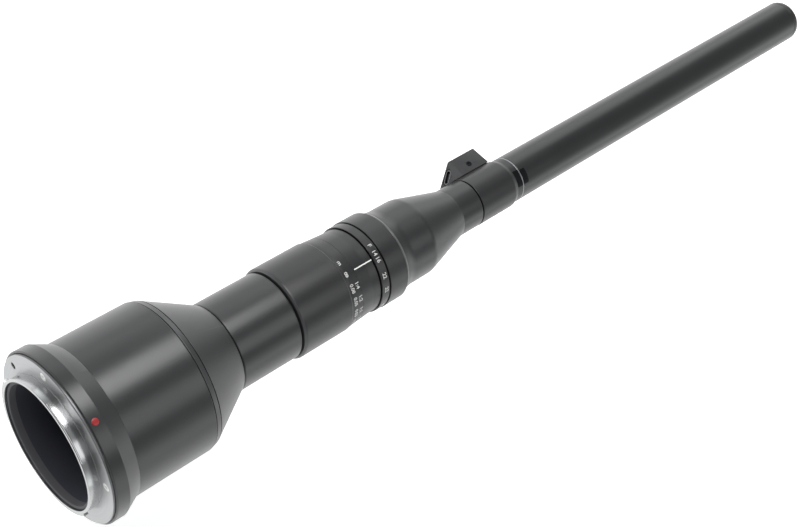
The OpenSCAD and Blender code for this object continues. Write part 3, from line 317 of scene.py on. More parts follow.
whiteEnamel = dict(redEnamel, sockets={"IOR": 1.5}, colour=(0.86, 0.86, 0.83), roughness=0.5,
                   variation=0.03)
wireCover = dict(redEnamel, colour=(0.3, 0.012, 0.012), sockets={"IOR": 1.5})
boardGreen = dict(mouldedBlack, colour=(0.012, 0.07, 0.03), roughness=0.3, wear=noWear)
lampYellow = dict(whiteEnamel, colour=(0.8, 0.72, 0.22), roughness=0.4)
chrome = {
    "colour": (0.43, 0.435, 0.44), "variation": 0.03, "roughness": 0.14, "roughVariation": 0.04,
    "grainsPerMm": 2.0, "ringsPerMm": 9.0, "ringShare": 1.0, "streak": 0.1, "depth": 0.0011}
mountChromePaintedShade = dict(chrome, satinAhead={"x": -0.25, "roughness": 0.22},
                   # darker band on the flange's rim is painted shade
                   paintedLightBands=((0.2, 1.5, (0.16, 0.16, 0.165)),))
plainSteel = dict(chrome, colour=(0.52, 0.52, 0.53), roughness=0.26, ringsPerMm=5.0)
bladeSteel = dict(chrome, colour=(0.06, 0.06, 0.065), roughness=0.38)
turnedBrass = dict(chrome, colour=(0.62, 0.44, 0.17), roughness=0.24)
bareSeam = dict(chrome, colour=(0.34, 0.35, 0.36), roughness=0.3, ringsPerMm=12.0)
coatedGlass = {
    "colour": (0.95, 0.98, 0.97), "variation": 0.02, "roughness": 0.02, "roughVariation": 0.01,
    "grainsPerMm": 0.4, "ior": 1.62, "coating": (0.55, 0.8, 0.62), "coat": 0.3, "coatRoughness": 0.02}
clearGlass = dict(coatedGlass, colour=(0.97, 0.98, 0.98), roughness=0.03, ior=1.5,
                  coating=(1.0, 1.0, 1.0), coat=0.0)

finishes = {
    "chromed_brass": metalFinish("chromedBrass", mountChromePaintedShade),
    "steel": metalFinish("plainSteel", plainSteel),
    "flocked_black": skinFinish("flockBlack", flockBlack),
    "black_anodised": skinFinish("satinBlack", satinBlack),
    "ring_anodised": skinFinish("ringBlack", ringBlack),
    "satin_band": skinFinish("bandBlack", bandBlack),
    "bright_seam": metalFinish("bareSeam", bareSeam),
    "tip_black": skinFinish("tipBlack", tipBlack),
    "moulded_black": skinFinish("mouldedBlack", mouldedBlack),
    "red_paint": skinFinish("redEnamel", redEnamel),
    "white_paint": skinFinish("whiteEnamel", whiteEnamel),
    "brass": metalFinish("turnedBrass", turnedBrass),
    "blade_steel": metalFinish("bladeSteel", bladeSteel),
    "coated_glass": glassFinish("coatedGlass", coatedGlass),
    "clear_glass": glassFinish("clearGlass", clearGlass),
    "circuit_board": skinFinish("boardGreen", boardGreen),
    "lamp_white": skinFinish("lampYellow", lampYellow),
    "wire_cover": skinFinish("wireCover", wireCover),
    "seal_rubber": skinFinish("rubberBlack", rubberBlack)}
slotOf = {part["node"]: part["material_slot"] for part in frame["record"]["subparts"]}
for nodeName, node in nodes.items():
    node.data.materials.clear()
    node.data.materials.append(finishes[slotOf[nodeName]])

# Pieces that look a little different from their slot's finish, several with painted highlights, light and
# shade on bands
focusRear, focusFront = (corner.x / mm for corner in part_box("focus_ring"))
housingRear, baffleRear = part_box("front_housing")[0].x / mm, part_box("rear_baffle")[0].x / mm
focusBlackPaintedHighlights = dict(ringBlack, paintedLightBands=(
    # painted highlight line on the step near the ring's front
    (focusFront - 6.05, focusFront - 5.4, (0.03, 0.03, 0.032)),
    # painted highlight on the ring's rear chamfer, in place of a glint, so only the gap stays black
    (focusRear - 0.3, focusRear + 0.8, (0.05, 0.051, 0.053))))
# painted highlight line on the rear rim of the front housing
housingBlackPaintedHighlight = dict(satinBlack, paintedLightBands=((housingRear - 1.0, housingRear + 0.95, (0.085, 0.087, 0.088)),))
barrelBlack = dict(satinBlack, colour=(0.0035, 0.004, 0.0044))
# flock painted lighter and bluer than it is, as light inside the throat, with a brighter painted lit band
# at the baffle's rear end
throatFlockPaintedLight = dict(flockBlack, colour=(0.06, 0.062, 0.078), roughness=0.7, depth=0.004, variation=0.1,
                   paintedLightBands=((baffleRear - 1.0, baffleRear + 2.8, (0.12, 0.12, 0.128)),))
flangeScrew = dict(plainSteel, colour=(0.86, 0.86, 0.85), roughness=0.42)
blackSteel = dict(chrome, colour=(0.03, 0.03, 0.032), roughness=0.3)
ownFinishes = {
    "focus_ring": skinFinish("focusBlackPaintedHighlights", focusBlackPaintedHighlights),
    "front_housing": skinFinish("housingBlackPaintedHighlight", housingBlackPaintedHighlight),
    "front_barrel": skinFinish("barrelBlack", barrelBlack),
    "rear_baffle": skinFinish("throatFlockPaintedLight", throatFlockPaintedLight),
    "bayonet_screws": metalFinish("flangeScrew", flangeScrew),
    "socket_screw": metalFinish("blackSteel", blackSteel)}
for nodeName, finish in ownFinishes.items():
    nodes[nodeName].data.materials[0] = finish
print("finishes made:", len(finishes) + len(ownFinishes))


# Turned shells, cut from their CAD nodes and lathed again with round corners

cutting = {"angle": 21.3, "weldsPerMetre": 1e7, "shortStep": 0.25, "slack": 0.003}


def weldedMesh(nodeName):
    mesh = nodes[nodeName].data
    mesh.calc_loop_triangles()
    corners = np.array([v.co for v in mesh.vertices])
    triangles = np.array([t.vertices for t in mesh.loop_triangles])
    grid, firsts, merged = np.unique(
        np.round(corners * cutting["weldsPerMetre"]).astype(np.int64), axis=0,
        return_index=True, return_inverse=True)
    return corners[firsts], merged.reshape(-1)[triangles]


def cutOutline(nodeName, angle):  # longest loop, as (x, radius), where a half plane cuts the node
    corners, triangles = weldedMesh(nodeName)
    turn = math.radians(angle)
    side = corners[:, 1] * math.cos(turn) + corners[:, 2] * math.sin(turn)
    outward = corners[:, 2] * math.cos(turn) - corners[:, 1] * math.sin(turn)
    radius = np.hypot(corners[:, 1], corners[:, 2])
    places, links = {}, {}
    for triangle in triangles:
        cuts = []
        for first, second in zip(triangle, np.roll(triangle, -1)):
            if (side[first] > 0) == (side[second] > 0):
                continue
            low, high = min(first, second), max(first, second)
            share = side[low] / (side[low] - side[high])
            reach = outward[low] + share * (outward[high] - outward[low])
            if reach <= 0:
                continue
            near = abs(side[high] - side[low]) < cutting["shortStep"] * reach  # hardly round the axis
            ring = radius[low] + share * (radius[high] - radius[low])
            x = corners[low, 0] + share * (corners[high, 0] - corners[low, 0])
            places[(low, high)] = (x, ring if near else reach)
            cuts.append((low, high))
        if len(cuts) == 2:
            links.setdefault(cuts[0], []).append(cuts[1])
            links.setdefault(cuts[1], []).append(cuts[0])
    loops, left = [], set(places)
    while left:
        start = min(left)
        loop, here = [], start
        while here is not None:
            left.discard(here)
            loop.append(places[here])
            here = next((n for n in links[here] if n in left), None)
        loops.append(np.array(loop))
    longest = max(loops, key=lambda p: np.abs(np.diff(p, axis=0)).sum())
    return straightened(longest)


def straightened(points):  # drops the points that lie on a straight line
    points, slack = list(points), cutting["slack"] * mm
    changed = True
    while changed:
        changed = False
        for k in range(len(points)):
            before, here, after = points[k - 1], points[k], points[(k + 1) % len(points)]
            run = after - before
            length = math.hypot(*run)
            off = abs(run[0] * (here[1] - before[1]) - run[1] * (here[0] - before[0]))
            if length < slack or off / length < slack:
                del points[k]
                changed = True
                break
    return np.array(points)


# arcStep is in degrees, share is the most of an edge that an arc takes, and near is a soft place's reach
# flank is how far beside an arc a point keeps the edge wear near it, on edges with room for it
rounding = {"arcStep": 18.0, "share": 0.45, "near": 0.3, "outside": 0.3, "flank": 0.3, "room": 1.2}


def roundedOutline(points, corners, soft):  # arcs at the corners, with the normal at every point
    flank, room = rounding["flank"] * mm, rounding["room"] * mm
    x, r = points[:, 0], points[:, 1]
    radii = np.interp(x, (x.min(), x.max()), corners)
    outside = r > r.min() + (r.max() - r.min()) * rounding["outside"]
    for place, radius in soft:
        radii[(np.abs(x - place) < rounding["near"] * mm) & outside] = radius
    if (x * np.roll(r, -1) - np.roll(x, -1) * r).sum() < 0:
        points, radii = points[::-1], radii[::-1]
    made, normals = [], []
    for k in range(len(points)):
        before, here, after = points[k - 1], points[k], points[(k + 1) % len(points)]
        lengthIn, lengthOut = math.hypot(*(here - before)), math.hypot(*(after - here))
        into, out = (here - before) / lengthIn, (after - here) / lengthOut
        turn = math.atan2(into[0] * out[1] - into[1] * out[0], float(into @ out))
        normalIn = np.array((into[1], -into[0]))
        cut = min(radii[k] * math.tan(abs(turn) / 2), rounding["share"] * min(lengthIn, lengthOut))
        steps = max(1, math.ceil(abs(turn) / math.radians(rounding["arcStep"])))
        arc = cut / math.tan(abs(turn) / 2) * math.copysign(1, turn)
        centre = here - into * cut - normalIn * arc
        if lengthIn > 2 * cut + room:
            made.append(here - into * (cut + flank))
            normals.append(normalIn)
        for step in range(steps + 1):
            swing = turn * step / steps
            c, s = math.cos(swing), math.sin(swing)
            normal = np.array((normalIn[0] * c - normalIn[1] * s, normalIn[0] * s + normalIn[1] * c))
            made.append(centre + normal * arc)
            normals.append(normal)
        if lengthOut > 2 * cut + room:
            made.append(here + out * (cut + flank))
            normals.append(normal)
    return np.array(made), np.array(normals)


def newMesh(name, corners, faces):
    mesh = bpy.data.meshes.new(name)
    mesh.from_pydata(corners, [], faces)
    return mesh


def newObject(name, data):
    made = bpy.data.objects.new(name, data)
    bpy.context.scene.collection.objects.link(made)
    return made


def lathe(name, points, normals, sides):
    turns = np.arange(sides) * 2 * math.pi / sides
    count = len(points)
    sine, cosine = np.sin(turns)[:, None], np.cos(turns)[:, None]

    def spun(pairs):
        along, out = np.repeat(pairs[None, :, 0], sides, 0), pairs[None, :, 1]
        return np.stack((along, -out * sine, out * cosine), -1).reshape(-1, 3)

    ring, step = np.meshgrid(np.arange(sides), np.arange(count), indexing="ij")
    nextRing, nextStep = (ring + 1) % sides, (step + 1) % count
    faces = np.stack((ring * count + step, ring * count + nextStep,
                      nextRing * count + nextStep, nextRing * count + step), -1).reshape(-1, 4)
    mesh = newMesh(name, spun(points).tolist(), faces.tolist())
    mesh.polygons.foreach_set("use_smooth", [True] * len(faces))
    mesh.normals_split_custom_set_from_vertices(spun(normals).tolist())
    return mesh


def addPiece(name, mesh, body, slot):
    piece = newObject(name, mesh)
    if not mesh.materials:
        mesh.materials.append(finishes[slot])
    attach(piece, body)
    return piece


outlines = {}


def reshaped(points, ends, changes):  # each change puts new points, or none, in the nearest one's place
    points = list(points)
    for end, rows in changes.items():
        for old, *new in rows:
            place = ends[end] + np.array(old) * mm
            here = min(range(len(points)), key=lambda k: math.hypot(*(points[k] - place)))
            points[here:here + 1] = [ends[end] + np.array(p) * mm for p in new]
    return np.array(points)


def turnedShell(name, values):
    node = values["node"]
    cut = cutOutline(node, values.get("cutAngle", cutting["angle"]))
    widest = cut[:, 1].max()
    ends = {"rear": np.array((cut[:, 0].min(), widest)), "front": np.array((cut[:, 0].max(), widest))}
    outlines[name] = reshaped(cut, ends, values.get("reshape", {}))
    soft = [(ends[end][0] + along * mm, radius * mm)
            for end, rows in values.get("soft", {}).items() for along, radius in rows]
    points, normals = roundedOutline(outlines[name], [c * mm for c in values["corners"]], soft)
    mesh = lathe(name, points, normals, values["sides"])
    mesh.materials.append(nodes[node].data.materials[0])
    piece = addPiece(name, mesh, nodes[node]["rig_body"], slotOf[node])
    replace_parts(piece, node)
    return piece


def outerRadius(shell, x):  # outside of a shell at x
    points = outlines[shell]
    found = []
    for a, b in zip(points, np.roll(points, -1, axis=0)):
        if min(a[0], b[0]) <= x <= max(a[0], b[0]) and a[0] != b[0]:
            found.append(a[1] + (b[1] - a[1]) * (x - a[0]) / (b[0] - a[0]))
    return max(found)


# cutAngle, in degrees from the index dot, misses the holes and pockets that the usual angle meets
# corners are the rounding radii in mm at the rear and front ends
# soft gives other radii at places along the outside, and reshape moves, adds or drops points
# A place is (along, out) in mm from that end of the node and from its widest radius
shells = {
    "mountCollar": {
        "node": "mount_collar", "corners": (0.35, 0.06), "sides": 288,
        "reshape": {"front": (((-0.15, -3.15), (-0.03, -3.2)), ((0, -3.3), (-0.01, -3.3)))}},
    "rearBarrel": {"node": "rear_barrel", "corners": (0.05, 0.2), "sides": 288},
    "barrelBand": {"node": "barrel_band", "corners": (0.2, 0.25), "sides": 288},
    "rearCone": {"node": "rear_cone", "corners": (0.2, 0.9), "sides": 288},
    "waistTube": {"node": "waist_tube", "corners": (0.9, 0.2), "sides": 224},
    "focusRing": {
        "node": "focus_ring", "cutAngle": 41.3, "corners": (0.55, 0.12), "sides": 224,
        "reshape": {"rear": (((0, -0.35), (-0.02, -0.75)), ((0.35, 0), (0.7, 0))),
                    "front": (((-5.65, 0), (-6.0, 0)), ((-5.5, -0.15), (-5.55, -0.33)))},
        "soft": {"rear": ((-0.02, 0.15), (0.7, 1.0)), "front": ((0, 0.05),)}},
    "indexSleeve": {
        "node": "index_sleeve", "cutAngle": 91.3, "corners": (0.12, 0.15), "sides": 224,
        "reshape": {"rear": (((0, 0), (-0.15, 0)), ((2.4, -0.45), (5.8, -0.43)))},
        "soft": {"rear": ((-0.15, 0.05), (5.8, 15.0))}},
    "apertureRing": {
        "node": "aperture_ring", "corners": (0.12, 0.12), "sides": 224,
        "reshape": {"rear": (((0, -0.45), (-0.12, -0.45)), ((0.15, -0.3), (0.03, -0.3)))}},
    "frontHousing": {
        "node": "front_housing", "corners": (0.12, 0.12), "sides": 224,
        "reshape": {"rear": (((0, 0), (1.05, -1.0), (-0.37, 0.02)), ((18.3, -2.3),),
                             ((18.15, -2.0), (17.45, -2.0))),
                    "front": (((-0.15, -8.2), (-0.45, -8.2)), ((0, -8.35), (-0.3, -8.35)))},
        "soft": {"rear": ((-0.37, 0.3), (1.05, 1.2), (4.8, 12.0), (17.45, 7.0), (39.8, 14.0))}},
    "seamRing": {"node": "seam_ring", "corners": (0.12, 0.12), "sides": 160},
    "frontBarrel": {
        "node": "front_barrel", "corners": (0.1, 0.06), "sides": 160,
        "reshape": {"front": (((-0.15, 0), (2.5, 0)), ((0, -0.15), (2.57, -0.07)))}},
    "tipRing": {
        "node": "tip_ring", "corners": (0.1, 0.6), "sides": 160,
        "reshape": {"rear": (((5.0, -0.15), (7.45, -0.09)), ((5.15, 0), (7.55, -0.01))),
                    "front": (((-0.35, 0), (-0.85, -0.07), (-1.65, 0)),
                              ((0, -0.35), (0, -0.65), (-0.23, -0.3)))},
        "soft": {"rear": ((7.45, 0.05), (7.55, 0.05))}},
    "lampCollar": {
        "node": "lamp_collar", "cutAngle": 141.3, "corners": (0.4, 0.25), "sides": 224,
        "reshape": {"front": (((-4.7, -0.15),), ((-4.85, 0), (-5.15, 0)))},
        "soft": {"front": ((-5.15, 2.5), (-3.2, 2.5))}},
    "rearSleeve": {"node": "rear_baffle", "corners": (0.4, 0.3), "sides": 224}}
for name, values in shells.items():
    turnedShell(name, values)
print("turned shells made:", len(outlines))


# CAD nodes that show as they are, with softened edges

softening = {"weld": 0.0005, "flatAngle": 0.4, "bevelAngle": 28, "segments": 2, "smoothBelow": 48}


def buildAngleSmoother():
    group = bpy.data.node_groups.new("angleSmoother", "GeometryNodeTree")
    group.interface.new_socket("Mesh", in_out="INPUT", socket_type="NodeSocketGeometry")
    limit = group.interface.new_socket("Limit", in_out="INPUT", socket_type=floatSocket)
    limit.default_value = math.radians(softening["smoothBelow"])
    group.interface.new_socket("Mesh", in_out="OUTPUT", socket_type="NodeSocketGeometry")
    start, end = group.nodes.new("NodeGroupInput"), group.nodes.new("NodeGroupOutput")
    faces = addNode(group, "GeometryNodeSetShadeSmooth", {"Geometry": start.outputs["Mesh"]},
                    domain="FACE")
    bend = addNode(group, "GeometryNodeInputMeshEdgeAngle").outputs["Unsigned Angle"]
    soft = addNode(group, "FunctionNodeCompare", {"A": bend, "B": start.outputs["Limit"]},
                   operation="LESS_THAN").outputs[0]
    edges = addNode(group, "GeometryNodeSetShadeSmooth",
                    {"Geometry": faces.outputs[0], "Shade Smooth": soft}, domain="EDGE")
    group.links.new(edges.outputs[0], end.inputs["Mesh"])
    return group


angleSmoother = buildAngleSmoother()


def softenPiece(piece, width, flatShaded=False):  # modifiers only, so a CAD mesh itself stays
    if "custom_normal" in piece.data.attributes:
        piece.data.attributes.remove(piece.data.attributes["custom_normal"])
    weld = piece.modifiers.new("weld", "WELD")
    weld.merge_threshold = softening["weld"] * mm
    flat = piece.modifiers.new("flatFaces", "DECIMATE")
    flat.decimate_type = "DISSOLVE"
    flat.angle_limit = math.radians(softening["flatAngle"])
    bevel = piece.modifiers.new("softEdges", "BEVEL")
    bevel.width = width * mm
    bevel.segments = softening["segments"]
    bevel.limit_method = "ANGLE"
    bevel.angle_limit = math.radians(softening["bevelAngle"])
    bevel.use_clamp_overlap = True
    if flatShaded:
        return
    smooth = piece.modifiers.new("smoothFaces", "NODES")
    smooth.node_group = angleSmoother
    weighted = piece.modifiers.new("evenNormals", "WEIGHTED_NORMAL")
    weighted.keep_sharp = True


softEdges = {  # bevel width in mm
    "bayonet_ring": 0.12, "bayonet_screws": 0.04, "socket_screw": 0.04, "lamp_window": 0.08,
    "led_board": 0.03, "leds": 0.06, "objective_cell": 0.05, "rear_cell": 0.08}
for nodeName, width in softEdges.items():
    softenPiece(nodes[nodeName], width)
print("edges softened:", len(softEdges))


# Lamp socket: a block whose mouth is slanted and turned, with a flat port and a screw

# Lengths in mm: along from the block's rear end in the CAD, height from the axis, across to the near side
socketBlock = {
    "turn": -103.0, "foot": 10.3, "top": 18.6, "footHalf": 3.55, "topHalf": 2.9, "nose": 1.7,
    "creaseTop": 6.5, "creaseFoot": 7.15, "apex": (5.75, 2.8), "mouthNormal": (-0.783, 0.422, 0.456),
    "nearFoot": 2.9, "farFoot": -4.4, "ridge": 2.5, "farTop": 8.9, "edge": 0.22,
    "plinth": (9.6, 11.0), "plinthInset": 0.5}
socketPort = {
    "middle": (13.5, 0.82), "lean": (0.613, 0.641, 0.461), "pocket": (6.9, 3.2), "pocketDepth": 2.6,
    "shell": (6.3, 2.6), "shellWall": 0.36, "shellEdge": 0.04, "sunk": 0.2,
    "tongue": (3.9, 0.5), "tongueEdge": 0.06, "tongueSunk": 0.9}
screwPocket = {"clear": 0.12, "depth": 1.4, "steps": 16}
portSteel = dict(plainSteel, colour=(0.2, 0.2, 0.21), roughness=0.36)
blockRear, blockFront = (corner.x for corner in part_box("socket_housing"))
blockLength = (blockFront - blockRear) / mm
seamGap = 0.002  # corners closer than this are one
mouthNormal = np.array(socketBlock["mouthNormal"]) / np.linalg.norm(socketBlock["mouthNormal"])


def blockPlace(point):  # (along, height, across) to the frame
    turn = math.radians(socketBlock["turn"])
    along, height, across = point
    return (blockRear + along * mm, (-height * math.sin(turn) - across * math.cos(turn)) * mm,
            (height * math.cos(turn) - across * math.sin(turn)) * mm)


def onMouth(height, across):  # place on the slanted and turned mouth
    apexAlong, apexAcross = socketBlock["apex"]
    back = mouthNormal[1] * (height - socketBlock["top"]) + mouthNormal[2] * (across - apexAcross)
    return np.array((apexAlong - back / mouthNormal[0], height, across))


def roundLoop(middle, longWay, thinWay, size, steps=12):  # flat slot with round ends
    half, reach = size[1] / 2, (size[0] - size[1]) / 2
    loop = []
    for end in (1, -1):
        for k in range(steps + 1):
            swing = math.pi * k / steps
            loop.append(middle + longWay * end * (reach + half * math.sin(swing))
                        + thinWay * end * half * math.cos(swing))
    return loop


def panelWithPocket(outer, rim, inward):  # a flat panel with a blind hole
    corners = list(outer) + list(rim)
    loops = [[Vector(p) for p in outer], [Vector(p) for p in rim]]
    faces = [tuple(t) for t in tessellate_polygon(loops)]
    first, base, count = len(outer), len(corners), len(rim)
    for k in range(count):
        after = (k + 1) % count
        faces.append((first + k, first + after, base + after, base + k))
    faces.append(tuple(range(base, base + count)))
    return corners + [p + inward for p in rim], faces


def tubeWall(outerRim, innerRim, inward):  # a short tube, open at its mouth and at its back
    count = len(outerRim)
    rings = [outerRim, innerRim, [p + inward for p in innerRim], [p + inward for p in outerRim]]
    faces = []
    for row in range(len(rings)):
        other = (row + 1) % len(rings)
        for k in range(count):
            after = (k + 1) % count
            faces.append((row * count + k, row * count + after,
                          other * count + after, other * count + k))
    return [p for ring in rings for p in ring], faces


def prismFaces(count):  # sides and ends of a prism, one ring of corners after the other
    sides = [(k, (k + 1) % count, count + (k + 1) % count, count + k) for k in range(count)]
    return sides + [tuple(range(count)), tuple(range(2 * count - 1, count - 1, -1))]


def joinedMesh(name, patches):  # patches in block places, welded along their common edges
    corners, faces = [], []
    for points, patchFaces in patches:
        base = len(corners)
        corners += [blockPlace(p) for p in points]
        faces += [tuple(base + v for v in face) for face in patchFaces]
    mesh = newMesh(name, corners, faces)
    shape = bmesh.new()
    shape.from_mesh(mesh)
    bmesh.ops.remove_doubles(shape, verts=shape.verts, dist=seamGap * mm)
    bmesh.ops.recalc_face_normals(shape, faces=shape.faces)
    shape.to_mesh(mesh)
    shape.free()
    return mesh


def socketPiece(name, patches, node, edge, flatShaded=False):
    piece = addPiece(name, joinedMesh(name, patches), nodes[node]["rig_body"], slotOf[node])
    softenPiece(piece, edge, flatShaded)
    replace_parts(piece, node)
    return piece


def blockCorners(block):
    foot, top, nearTop, nearFoot = block["foot"], block["top"], block["topHalf"], block["footHalf"]
    noseTop = blockLength - block["nose"]
    return {
        "apexNear": onMouth(top, block["apex"][1]), "apexFar": onMouth(top, block["ridge"]),
        "mouthNear": onMouth(foot, block["nearFoot"]), "mouthFar": onMouth(foot, block["farFoot"]),
        "creaseTop": np.array((block["creaseTop"], top, nearTop)),
        "creaseFoot": np.array((block["creaseFoot"], foot, nearFoot)),
        "frontTop": np.array((noseTop, top, nearTop)),
        "frontFoot": np.array((blockLength, foot, nearFoot)),
        "farFrontTop": np.array((noseTop, top, -nearTop)),
        "farFrontFoot": np.array((blockLength, foot, -nearFoot)),
        "farTop": np.array((block["farTop"], top, -nearTop))}


def portWays(port):  # its middle, and the ways along its length and its thickness
    lean = np.array(port["lean"]) - mouthNormal * (mouthNormal @ np.array(port["lean"]))
    lean = lean / np.linalg.norm(lean)
    return onMouth(*port["middle"]), lean, np.cross(mouthNormal, lean)


def mouthPanel(corner, port):  # the slanted rear face, with the port's pocket
    middle, lean, thin = portWays(port)
    return panelWithPocket([corner[n] for n in ("apexNear", "apexFar", "mouthFar", "mouthNear")],
                           roundLoop(middle, lean, thin, port["pocket"]),
                           -mouthNormal * port["pocketDepth"])


def nearPanel(corner, pocket):  # the side towards the viewer, with the screw's pocket
    side = np.cross(corner["frontFoot"] - corner["creaseFoot"], corner["creaseTop"] - corner["creaseFoot"])
    side = side * math.copysign(1, side[2]) / np.linalg.norm(side)
    low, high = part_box("socket_screw")
    middle = (low + high) / 2
    turn = math.radians(socketBlock["turn"])
    height = (middle.z * math.cos(turn) - middle.y * math.sin(turn)) / mm
    across = corner["frontFoot"][2] - side[1] * (height - socketBlock["foot"]) / side[2]
    hole = np.array(((middle.x - blockRear) / mm, height, across))
    width = (high.x - low.x) / mm + 2 * pocket["clear"]
    along = np.array((1.0, 0, 0))
    # A slot with no straight part is a circle, which closes without its last two points
    rim = roundLoop(hole, along, np.cross(side, along), (width, width), pocket["steps"])[:-2]
    return panelWithPocket([corner[n] for n in ("frontFoot", "frontTop", "creaseTop", "creaseFoot")],
                           rim, -side * pocket["depth"])


def plinthPrism(corner, block, names):  # an inset foot, which leaves a narrow shadow
    centre = np.mean([corner[n] for n in names], axis=0)
    ring = []
    for level in block["plinth"]:
        for name in names:
            inset = corner[name] - block["plinthInset"] * np.sign(corner[name] - centre)
            ring.append(np.array((inset[0], level, inset[2])))
    return ring, prismFaces(len(names))


def buildSocketBlock(block, port, pocket):
    corner = blockCorners(block)

    def panel(*names):
        return [corner[n] for n in names], [tuple(range(len(names)))]

    underside = ("frontFoot", "creaseFoot", "mouthNear", "mouthFar", "farFrontFoot")
    patches = [
        mouthPanel(corner, port), nearPanel(corner, pocket),
        panel("frontFoot", "farFrontFoot", "farFrontTop", "frontTop"),
        panel("frontTop", "farFrontTop", "farTop", "apexFar", "apexNear", "creaseTop"),
        panel("creaseTop", "apexNear", "creaseFoot"), panel("apexNear", "mouthNear", "creaseFoot"),
        panel("apexFar", "farTop", "mouthFar"), panel("farTop", "farFrontTop", "farFrontFoot"),
        panel("farTop", "farFrontFoot", "mouthFar"), panel(*underside),
        plinthPrism(corner, block, underside)]
    return socketPiece("socketBlock", patches, "socket_housing", block["edge"], flatShaded=True)


def buildPortShell(port):
    middle, lean, thin = portWays(port)
    start = middle - mouthNormal * port["sunk"]
    inner = [size - 2 * port["shellWall"] for size in port["shell"]]
    wall = tubeWall(roundLoop(start, lean, thin, port["shell"]), roundLoop(start, lean, thin, inner),
                    -mouthNormal * (port["pocketDepth"] - port["sunk"]))
    shell = socketPiece("portShell", [wall], "socket_shell", port["shellEdge"])
    shell.data.materials[0] = metalFinish("portSteel", portSteel)
    return shell


def buildPortTongue(port):
    middle, lean, thin = portWays(port)
    halfLong, halfThin = (size / 2 for size in port["tongue"])
    face = middle - mouthNormal * port["tongueSunk"]
    signs = ((1, 1), (-1, 1), (-1, -1), (1, -1))
    tip = [face + lean * a * halfLong + thin * b * halfThin for a, b in signs]
    back = [p - mouthNormal * (port["pocketDepth"] - port["tongueSunk"]) for p in tip]
    plate = (tip + back, prismFaces(len(tip)))
    return socketPiece("portTongue", [plate], "socket_tongue", port["tongueEdge"])


socketPieces = [buildSocketBlock(socketBlock, socketPort, screwPocket),
                buildPortShell(socketPort), buildPortTongue(socketPort)]
print("socket made:", len(socketPieces), "pieces")


# Thin pieces that lie on the shells

def onShell(x, turn, radius):
    return (x, -radius * math.sin(turn), radius * math.cos(turn))


def wrappedFilm(name, values, body, slot):
    shell = values["shell"]
    first, last = (x * mm for x in values["x"])
    middle = outerRadius(shell, (first + last) / 2)
    turns = [math.radians(t) for t in values["turn"]]
    width = (turns[1] - turns[0]) * middle
    corner = values["corner"] * mm
    steps, rows = values["steps"], values["rows"]
    grid = []
    for k in range(steps + 1):
        place = width * (0.5 - 0.5 * math.cos(math.pi * k / steps))
        short = max(0.0, corner - min(place, width - place))
        inset = corner - math.sqrt(corner ** 2 - short ** 2)
        xs = np.linspace(first + inset, last - inset, rows + 1)
        grid.append([(x, turns[0] + place / middle) for x in xs])
    corners, faces = [], []
    for lift in (-values["sink"] * mm, values["thickness"] * mm):
        for column in grid:
            for x, turn in column:
                corners.append(onShell(x, turn, outerRadius(shell, x) + lift))
    size = (steps + 1) * (rows + 1)
    for k in range(steps):
        for row in range(rows):
            a, b = k * (rows + 1) + row, (k + 1) * (rows + 1) + row
            faces.append((a, b, b + 1, a + 1))
            faces.append((size + a, size + a + 1, size + b + 1, size + b))
    rim = [k * (rows + 1) for k in range(steps + 1)]
    rim += [steps * (rows + 1) + row for row in range(1, rows + 1)]
    rim += [k * (rows + 1) + rows for k in range(steps - 1, -1, -1)]
    rim += list(range(rows - 1, 0, -1))
    for a, b in zip(rim, rim[1:] + rim[:1]):
        faces.append((b, a, size + a, size + b))
    return addPiece(name, newMesh(name, corners, faces), body, slot)


# White index line on the fixed sleeve, which ends just short of the sleeve's front
lineLow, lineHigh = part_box("index_line")
indexLine = {
    "shell": "indexSleeve", "x": (lineLow.x / mm, lineHigh.x / mm - 0.05), "turn": (-0.75, 0.75),
    "corner": 0.1, "thickness": 0.03, "sink": 0.02, "steps": 12, "rows": 6}
linePiece = wrappedFilm("indexLine", indexLine, "root", "white_paint")
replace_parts(linePiece, "index_line")

# Two bare glossy label films, one on each side of the seam ring
sleeveEnd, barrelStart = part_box("lamp_collar")[1].x / mm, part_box("seam_ring")[1].x / mm
rearLabel = {
    "shell": "lampCollar", "x": (sleeveEnd - 2.95, sleeveEnd - 0.12), "turn": (-11, 31),
    "corner": 0.3, "thickness": 0.05, "sink": 0.02, "steps": 40, "rows": 6}
frontLabel = dict(rearLabel, shell="frontBarrel", x=(barrelStart + 0.2, barrelStart + 3.0), turn=(-7, 31))
labelGloss = dict(mouldedBlack, colour=(0.002, 0.003, 0.004), roughness=0.2, depth=0.001,
                  sockets={"IOR": 1.3}, wear=noWear)
labelMaterial = skinFinish("labelGloss", labelGloss)
for name, values in (("rearLabel", rearLabel), ("frontLabel", frontLabel)):
    film = wrappedFilm(name, values, "root", "moulded_black")
    film.data.materials[0] = labelMaterial

# Red enamel drop that helps to line the lens up with the camera
dotLow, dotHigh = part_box("index_dot")
indexDrop = {"rings": 7, "sectors": 48, "dome": 0.16, "lip": 0.0001, "sink": 0.4}


